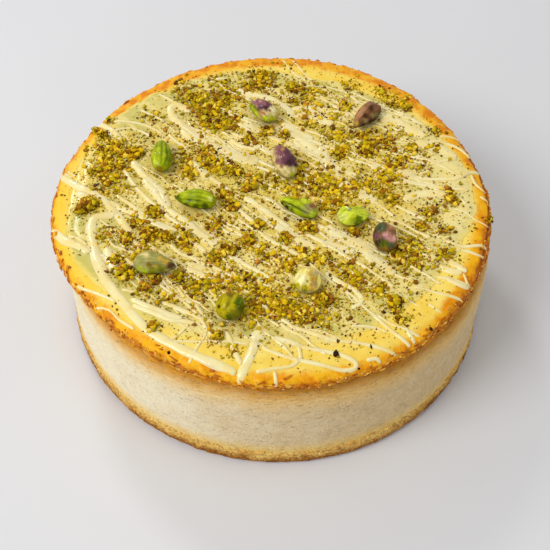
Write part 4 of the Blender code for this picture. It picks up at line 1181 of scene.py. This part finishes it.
# %% The kernels' finish
def kernel_finish(heading):
    made, place = new_material("kernel")
    painted = place.node("ShaderNodeAttribute", {"attribute_name": "paint"})
    turned = place.node("ShaderNodeVectorRotate", {"rotation_type": "Z_AXIS"},
                        {"Vector": place, "Angle": -math.radians(heading)})
    streaks = (turned * (0.25, 1.0, 1.0)).cloud(1.3, detail=3)
    fine = place.cloud(0.7, detail=2)
    # Darker in the streaks' hollows and lighter on their ridges: partly own tone, partly painted shade and painted
    # light.
    shade = (streaks * 0.7 + fine * 0.3).step(0.3, 0.7)
    colour = shade.blend(painted * (0.64, 0.62, 0.44), painted * (1.25, 1.24, 1.12))
    return finish_material(made, colour, 0.28 + fine * 0.2, streaks + fine * 0.4, 0.4, Specular_IOR_Level=0.05,
                           Coat_Weight=0.18, Coat_Roughness=0.08)


for number, spec in enumerate(KERNELS, start=1):
    hand_over(f"kernel_{number}", kernel_mesh(number, spec), kernel_finish(spec[3]),
              [f"pistachio_{number:02d}"])

# %% [markdown]
# Chopped nuts cover the glaze in heaps of all sizes. Each heap is a spot where a pinch landed: its middle, its spread,
# how many bits and how dark. Every bit is a lump of 20, 8 or 4 sides by its size, with each corner moved at random,
# and small dense heaps pile up into mounds. The bits are sorted into green, gold, brown and dark ones, and a few large
# dark chips are placed one by one from a list.

# %% Chopped nuts
# Middle, spread, number of bits and darkness from 0 to 1.
HEAPS = (
    (-10, 82, 8, 150, .3), (7, 77, 3.6, 60, .7), (-42, 66, 8, 90, .3), (-33, 62, 8, 100, .3), (-36, 56, 5, 70, .8),
    (-30, 50, 8, 110, .4), (-22, 50, 5, 50, .4), (-25, 70, 8, 70, .4), (-30, 78, 8, 45, .3), (-48, 72, 7, 40, .4),
    (-5, 45, 3.6, 60, .5), (3, 43, 3, 25, .6), (-15, 40, 4, 30, .4), (12, 66, 7, 60, .3), (15, 57, 6, 40, .3),
    (33, 65, 4, 45, .2), (27, 57, 5, 30, .2), (51, 76, 3.5, 40, .4), (57, 69, 6, 60, .3), (63, 65, 3, 25, .6),
    (36, 80, 6, 30, .2), (16, 76, 6, 40, .4), (41, 46, 6, 90, .5), (50, 39, 6, 110, .75), (42, 34, 4.5, 70, .8),
    (30, 32, 4.5, 50, .7), (65, 36, 4.5, 50, .4), (75, 36, 4, 20, .2), (76, 48, 4, 15, .8), (58, 47, 5, 25, .3),
    (52, 18, 7, 80, .4), (55, 25, 6, 50, .4), (70, 24, 3.5, 25, .4), (60, 29, 6, 25, .2), (28, 44, 8, 45, .3),
    (-78, 30, 8, 180, .35), (-68, 28, 5, 70, .5), (-84, 39, 3, 40, .8), (-88, 43, 2, 12, .7), (-82, 50, 2.4, 20, .5),
    (-82, 18, 7, 90, .4), (-76, 19, 6, 90, .5), (-78, 11, 7, 70, .4), (-79, 4, 7, 40, .4), (-62, 54, 6, 30, .2),
    (-85, -5, 4.4, 170, .8), (-88, -9, 3, 40, .9), (-33, 28, 7, 80, .3), (-30, 21, 6, 45, .3), (-20, 18, 5, 50, .5),
    (-45, 25, 5, 40, .3), (-40, 16, 5, 40, .3), (-14, 8, 5, 35, .5), (-23, 3, 5, 35, .5), (-20, -4, 3.4, 50, .7),
    (10, 17, 10, 170, .25), (22, 14, 9, 130, .25), (26, 5, 9, 110, .3), (10, 8, 8, 80, .4), (36, 9, 7, 60, .25),
    (48, 8, 8, 50, .3), (52, 3, 3.5, 40, .2), (80, 3, 3.4, 60, .8), (80, 8, 2.5, 20, .4), (70, -6, 4, 50, .4),
    (65, -14, 2.8, 40, .6), (76, -16, 4, 16, .8), (60, -24, 5, 60, .3), (60, -33, 8, 105, .45), (53, -29, 5, 50, .3),
    (74, -30, 5, 50, .4), (-55, -9, 5, 45, .5), (-62, -15, 5, 35, .4), (-56, -22, 5, 70, .75), (-66, -25, 4, 50, .8),
    (-48, -23, 3.2, 55, .5), (-40, -25, 6, 60, .4), (-60, -31, 5, 40, .4), (-69, -37, 4, 35, .6),
    (-65, -44, 5, 90, .65), (-51, -46, 5, 50, .5), (-42, -45, 5, 45, .6), (-76, -23, 4, 25, .4), (-28, -15, 6, 60, .4),
    (-20, -30, 4.5, 60, .7), (-26, -34, 4, 50, .5), (-12, -24, 4, 70, .5), (-8, -15, 3.5, 35, .5),
    (-4, -31, 6, 50, .4),
    (4, -22, 3.5, 45, .4), (14, -15, 4.5, 80, .5), (24, -2, 6, 40, .4), (-33, -50, 7, 70, .3), (-24, -47, 7, 80, .3),
    (-14, -48, 7, 80, .3), (-4, -54, 7, 110, .3), (-10, -63, 6, 80, .4), (3, -61, 7, 110, .3), (12, -63, 6, 90, .4),
    (21, -56, 4.6, 130, .7), (9, -52, 5, 40, .4), (-55, -53, 3.5, 25, .5), (-44, -58, 5, 30, .4),
    (-50, -71, 3, 15, .5),
    (-22.5, -76, 2.4, 26, .5), (-16, -82, 3, 14, .1), (35, -44, 5, 45, .3), (29, -39, 6, 35, .4), (45, -50, 5, 35, .3),
    (51, -57, 4, 40, .5), (53, -64, 3.5, 25, .4), (35, -18, 4, 30, .5), (5, -38, 6, 55, .4), (11, -31, 5, 40, .4),
    (20, -34, 5, 45, .3), (-9, 13, 5, 30, .3), (0, 101, 1.8, 9, .8), (7.5, 101, 1.6, 7, .1), (97, -7, 1.8, 14, .4),
    (-50, 80, 5, 12, .8), (0, 90, 10, 20, .5), (-36, 36, 6, 30, .5), (20, -66, 6, 40, .4), (-30, -72, 8, 14, .6),
)


# Places and sizes of the large dark chips.
CHIPS = (
    (25.3, -82.7, 2.8), (-42.2, -82.9, 1.8), (65.6, -68, 1.9), (34.8, -88.4, 1.7), (40, -78.4, 1.7),
    (80.8, -29.4, 1.6),
    (-46, -70.9, 1.6), (-13.3, 89, 1.8), (-21.9, 87.8, 1.6), (-83, 7, 1.5), (-87, -3, 1.7), (46, -62, 1.6),
    (-30, -56, 1.6), (68, -10, 1.5), (20, -70, 1.6), (72, 30, 1.6), (-58, 40, 1.5), (-6, -80, 1.4), (58, -52, 1.6),
)


# %% [markdown]
# Thousands of bits have to stay light, so three plain lumps serve them all: an icosphere for
# the large ones, an octahedron for small ones and a tetrahedron for dust. Moving each corner
# at random makes every bit its own broken shape.

# %% The shape of one bit
def lump(maker, **size):
    """Corners and faces of an even lump that bits start as."""
    work = bmesh.new()
    maker(work, **size)
    corners = [v.co.normalized() for v in work.verts]
    sides = [tuple(v.index for v in f.verts) for f in work.faces]
    work.free()
    return corners, sides


BIG_LUMP = lump(bmesh.ops.create_icosphere, subdivisions=1, radius=1)
CORNERED_LUMP = ([Vector(c) for c in ((1, 0, 0), (0, 1, 0), (-1, 0, 0), (0, -1, 0), (0, 0, 1), (0, 0, -1))],
                 [(k, (k + 1) % 4, 4) for k in range(4)] + [((k + 1) % 4, k, 5) for k in range(4)])
DUST = ([Vector(c).normalized() for c in ((1, 1, 1), (-1, -1, 1), (-1, 1, -1), (1, -1, -1))],
        [(0, 3, 1), (0, 1, 2), (0, 2, 3), (1, 3, 2)])
SMALL_SIZE, DUST_SIZE = 1.7 * MM, 0.72 * MM
COARSE_SHARE, FINE_SHARE = 3.3, 2.2
STRAY_BITS, SPECKS = 30000, 1700
MOUND_SPREAD, MOUND_DARKNESS = 5.2, 0.45
NUT_REACH = 103


def nut_bit(x, y, size, lift, draw):
    """Points and faces of one chopped bit that lies at (x, y)."""
    half = size / 2
    corners, sides = BIG_LUMP if size > SMALL_SIZE else CORNERED_LUMP if size > DUST_SIZE else DUST
    stretch = Vector((draw.uniform(0.75, 1.5), draw.uniform(0.7, 1.1), draw.uniform(0.6, 1.0)))
    turn = Matrix.Rotation(draw.uniform(0, math.tau), 3, Vector((draw.gauss(0, 0.5), draw.gauss(0, 0.5), 1)))
    place = ground(x, y, lift + half * 0.35)
    points = [place + turn @ (c * stretch * half * draw.uniform(0.6, 1.35)) for c in corners]
    return points, sides


# %% [markdown]
# A bit falls where chance puts it, unless a whole kernel lies there. Heaps get coarse bits in
# the middle and fine ones round them, stray bits follow a cloudy noise, and specks come last.

# %% Scattering the bits
def under_kernel(x, y):
    """True where a whole kernel lies over the point."""
    for (low, high), (length, width, _, heading, _) in zip(NODE_BOXES, KERNELS):
        turn = math.radians(heading)
        dx, dy = (x - (low[0] + high[0]) / 2) / MM, (y - (low[1] + high[1]) / 2) / MM
        along = dx * math.cos(turn) + dy * math.sin(turn)
        across = dy * math.cos(turn) - dx * math.sin(turn)
        if (along / (length * 0.46)) ** 2 + (across / (width * 0.46)) ** 2 < 1:
            return True
    return False


def pick_kind(draw, darkness):
    """The kind of one bit; a darker heap has more brown and dark ones."""
    roll = draw.random()
    if roll < 0.04 + 0.07 * darkness:
        return "dark"
    if roll < 0.17 + 0.42 * darkness:
        return "brown"
    return "green" if roll < 0.58 + 0.22 * darkness else "gold"


def scatter_nuts(seed):
    """Bits by kind: heaps of coarse bits, fine ones round them, and specks all over."""
    draw = random.Random(seed)
    parts = {"green": [], "gold": [], "brown": [], "dark": []}

    def drop(px, py, middle_size, spread_size, largest, darkness, lift=0.0):
        kind = pick_kind(draw, darkness)
        size = min(largest, max(0.35, draw.lognormvariate(middle_size, spread_size)))
        if kind == "dark":
            size = min(1.5, size * 0.8)
        if math.hypot(px, py) < NUT_REACH and not under_kernel(px * MM, py * MM):
            parts[kind].append(nut_bit(px * MM, py * MM, size * MM, lift, draw))

    for x, y, spread, count, darkness in HEAPS:
        density = count / (spread * spread)
        mound = spread < MOUND_SPREAD and darkness > MOUND_DARKNESS
        for _ in range(round(count * COARSE_SHARE)):
            reach = spread * (0.4 if mound else 0.5)
            px, py = draw.gauss(x, reach), draw.gauss(y, reach)
            if not mound and noise.noise(Vector((px / 3, py / 3, 7))) < draw.uniform(-0.45, 0.1):
                continue
            away = math.hypot(px - x, py - y) / spread
            pile = min(3.5, density * 0.8 if mound else max(0.0, density - 1.2) * 0.6) * max(0.0, 1 - away) * MM
            px, py = from_map((px, py))
            drop(px, py, 0.18, 0.4, 3.0, darkness, draw.uniform(0, 1) * pile)
        for _ in range(round(count * FINE_SHARE)):
            px, py = from_map((draw.gauss(x, spread * 0.7), draw.gauss(y, spread * 0.7)))
            drop(px, py, -0.42, 0.3, 1.0, darkness * 0.7)
    for _ in range(STRAY_BITS):
        reach = 93 * math.sqrt(draw.random())
        angle = draw.uniform(0, math.tau)
        px, py = reach * math.cos(angle), reach * math.sin(angle)
        clump = noise.noise(Vector((px / 9, py / 9, 5))) + 0.6 * noise.noise(Vector((px / 3.5, py / 3.5, 2)))
        middle = smooth_step((88 - reach) / 20)
        if (0.12 + 0.85 * smooth_step((clump + 0.28) / 0.5) * middle) > draw.random():
            drop(px, py, -0.3, 0.42, 2.0, 0.35)
    for x, y, size in CHIPS:
        px, py = from_map((x, y))
        parts["dark"].append(nut_bit(px * MM, py * MM, size * MM, 0, draw))
    for _ in range(SPECKS):
        reach = 97 * math.sqrt(draw.random())
        angle = draw.uniform(0, math.tau)
        drop(reach * math.cos(angle), reach * math.sin(angle), -0.4, 0.35, 1.4, 2.0)
    return parts


# %% [markdown]
# In a heap, light reaches the top of a bit and not its foot. Each bit's own height, from 0 at
# its foot to 1 at its top, is stored on the mesh, and the finish is darker where it is low.

# %% The bits' colours and meshes
def mark_levels(mesh, parts):
    """Stores on each corner how high in its own bit it lies, from 0 to 1."""
    levels = []
    for points, _ in parts:
        heights = [p.z for p in points]
        low, high = min(heights), max(heights)
        levels += [(height - low) / (high - low) for height in heights]
    mesh.attributes.new("level", "FLOAT", "POINT").data.foreach_set("value", levels)
    return mesh


NUT_STOPS = {
    "green": ((0.0, srgb(132, 114, 0)), (0.3, srgb(168, 148, 0)), (0.6, srgb(200, 176, 0)), (0.8, srgb(218, 198, 24)),
              (1.0, srgb(176, 178, 56))),
    "gold": ((0.0, srgb(198, 154, 0)), (0.3, srgb(224, 186, 0)), (0.6, srgb(240, 206, 22)), (0.85, srgb(252, 228, 98)),
             (1.0, srgb(228, 172, 36))),
    "brown": ((0.0, srgb(84, 50, 0)), (0.35, srgb(128, 84, 0)), (0.7, srgb(172, 118, 4)), (1.0, srgb(216, 150, 52))),
    "dark": ((0.0, srgb(24, 14, 8)), (0.4, srgb(52, 30, 16)), (0.8, srgb(86, 50, 40)), (1.0, srgb(122, 78, 68))),
}
for kind, parts in scatter_nuts(7).items():
    bits = mark_levels(joined(f"nuts_{kind}", parts), parts)
    hand_over(f"nuts_{kind}", bits, speckled_finish(f"nut {kind}", NUT_STOPS[kind], 0.6, painted_foot_shade=True),
              smooth=False)

# %% [markdown]
# The scene is a plain pale floor under soft light. One large lamp stands to the left and gives
# the bright left wall and the soft shadow on the right. A small one behind draws the shine on
# the cream, a wide weak one lifts the right side, and an even white sky fills the rest.

# %% Floor and light
FLOOR_REACH = 3.0


def build_floor():
    mesh = bpy.data.meshes.new("floor")
    corners = [(x * FLOOR_REACH, y * FLOOR_REACH, 0) for x, y in ((-1, -1), (1, -1), (1, 1), (-1, 1))]
    mesh.from_pydata(corners, [], [(0, 1, 2, 3)])
    floor = bpy.data.objects.new("floor", mesh)
    scene.collection.objects.link(floor)
    made, place = new_material("floor")
    pale = place.cloud(400).step(0.3, 0.7).blend(srgb(222, 222, 224), srgb(226, 226, 228))
    mesh.materials.append(finish_material(made, pale, 0.6))


def add_lamp(name, size, power, direction, distance):
    """A round white lamp that faces the cake's foot from that direction and distance."""
    data = bpy.data.lights.new(name, "AREA")
    data.shape = "DISK"
    data.size = size
    data.energy = power
    lamp = bpy.data.objects.new(name, data)
    scene.collection.objects.link(lamp)
    lamp.location = Vector(direction).normalized() * distance
    lamp.rotation_euler = Vector(direction).to_track_quat("Z", "Y").to_euler()


build_floor()
world = bpy.data.worlds.new("studio")
scene.world = world
world.use_nodes = True
world.node_tree.nodes["Background"].inputs["Color"].default_value = (1, 1, 1, 1)
world.node_tree.nodes["Background"].inputs["Strength"].default_value = 0.435
add_lamp("key", 1.1, 25, (-0.76, -0.46, 0.90), 2.2)
add_lamp("sheen", 0.28, 4.0, (-0.42, 0.80, 0.88), 1.5)
add_lamp("fill", 1.8, 4.5, (0.70, -0.15, 1.10), 2.4)
print("lamps:", ", ".join(sorted(data.name for data in bpy.data.lights)))
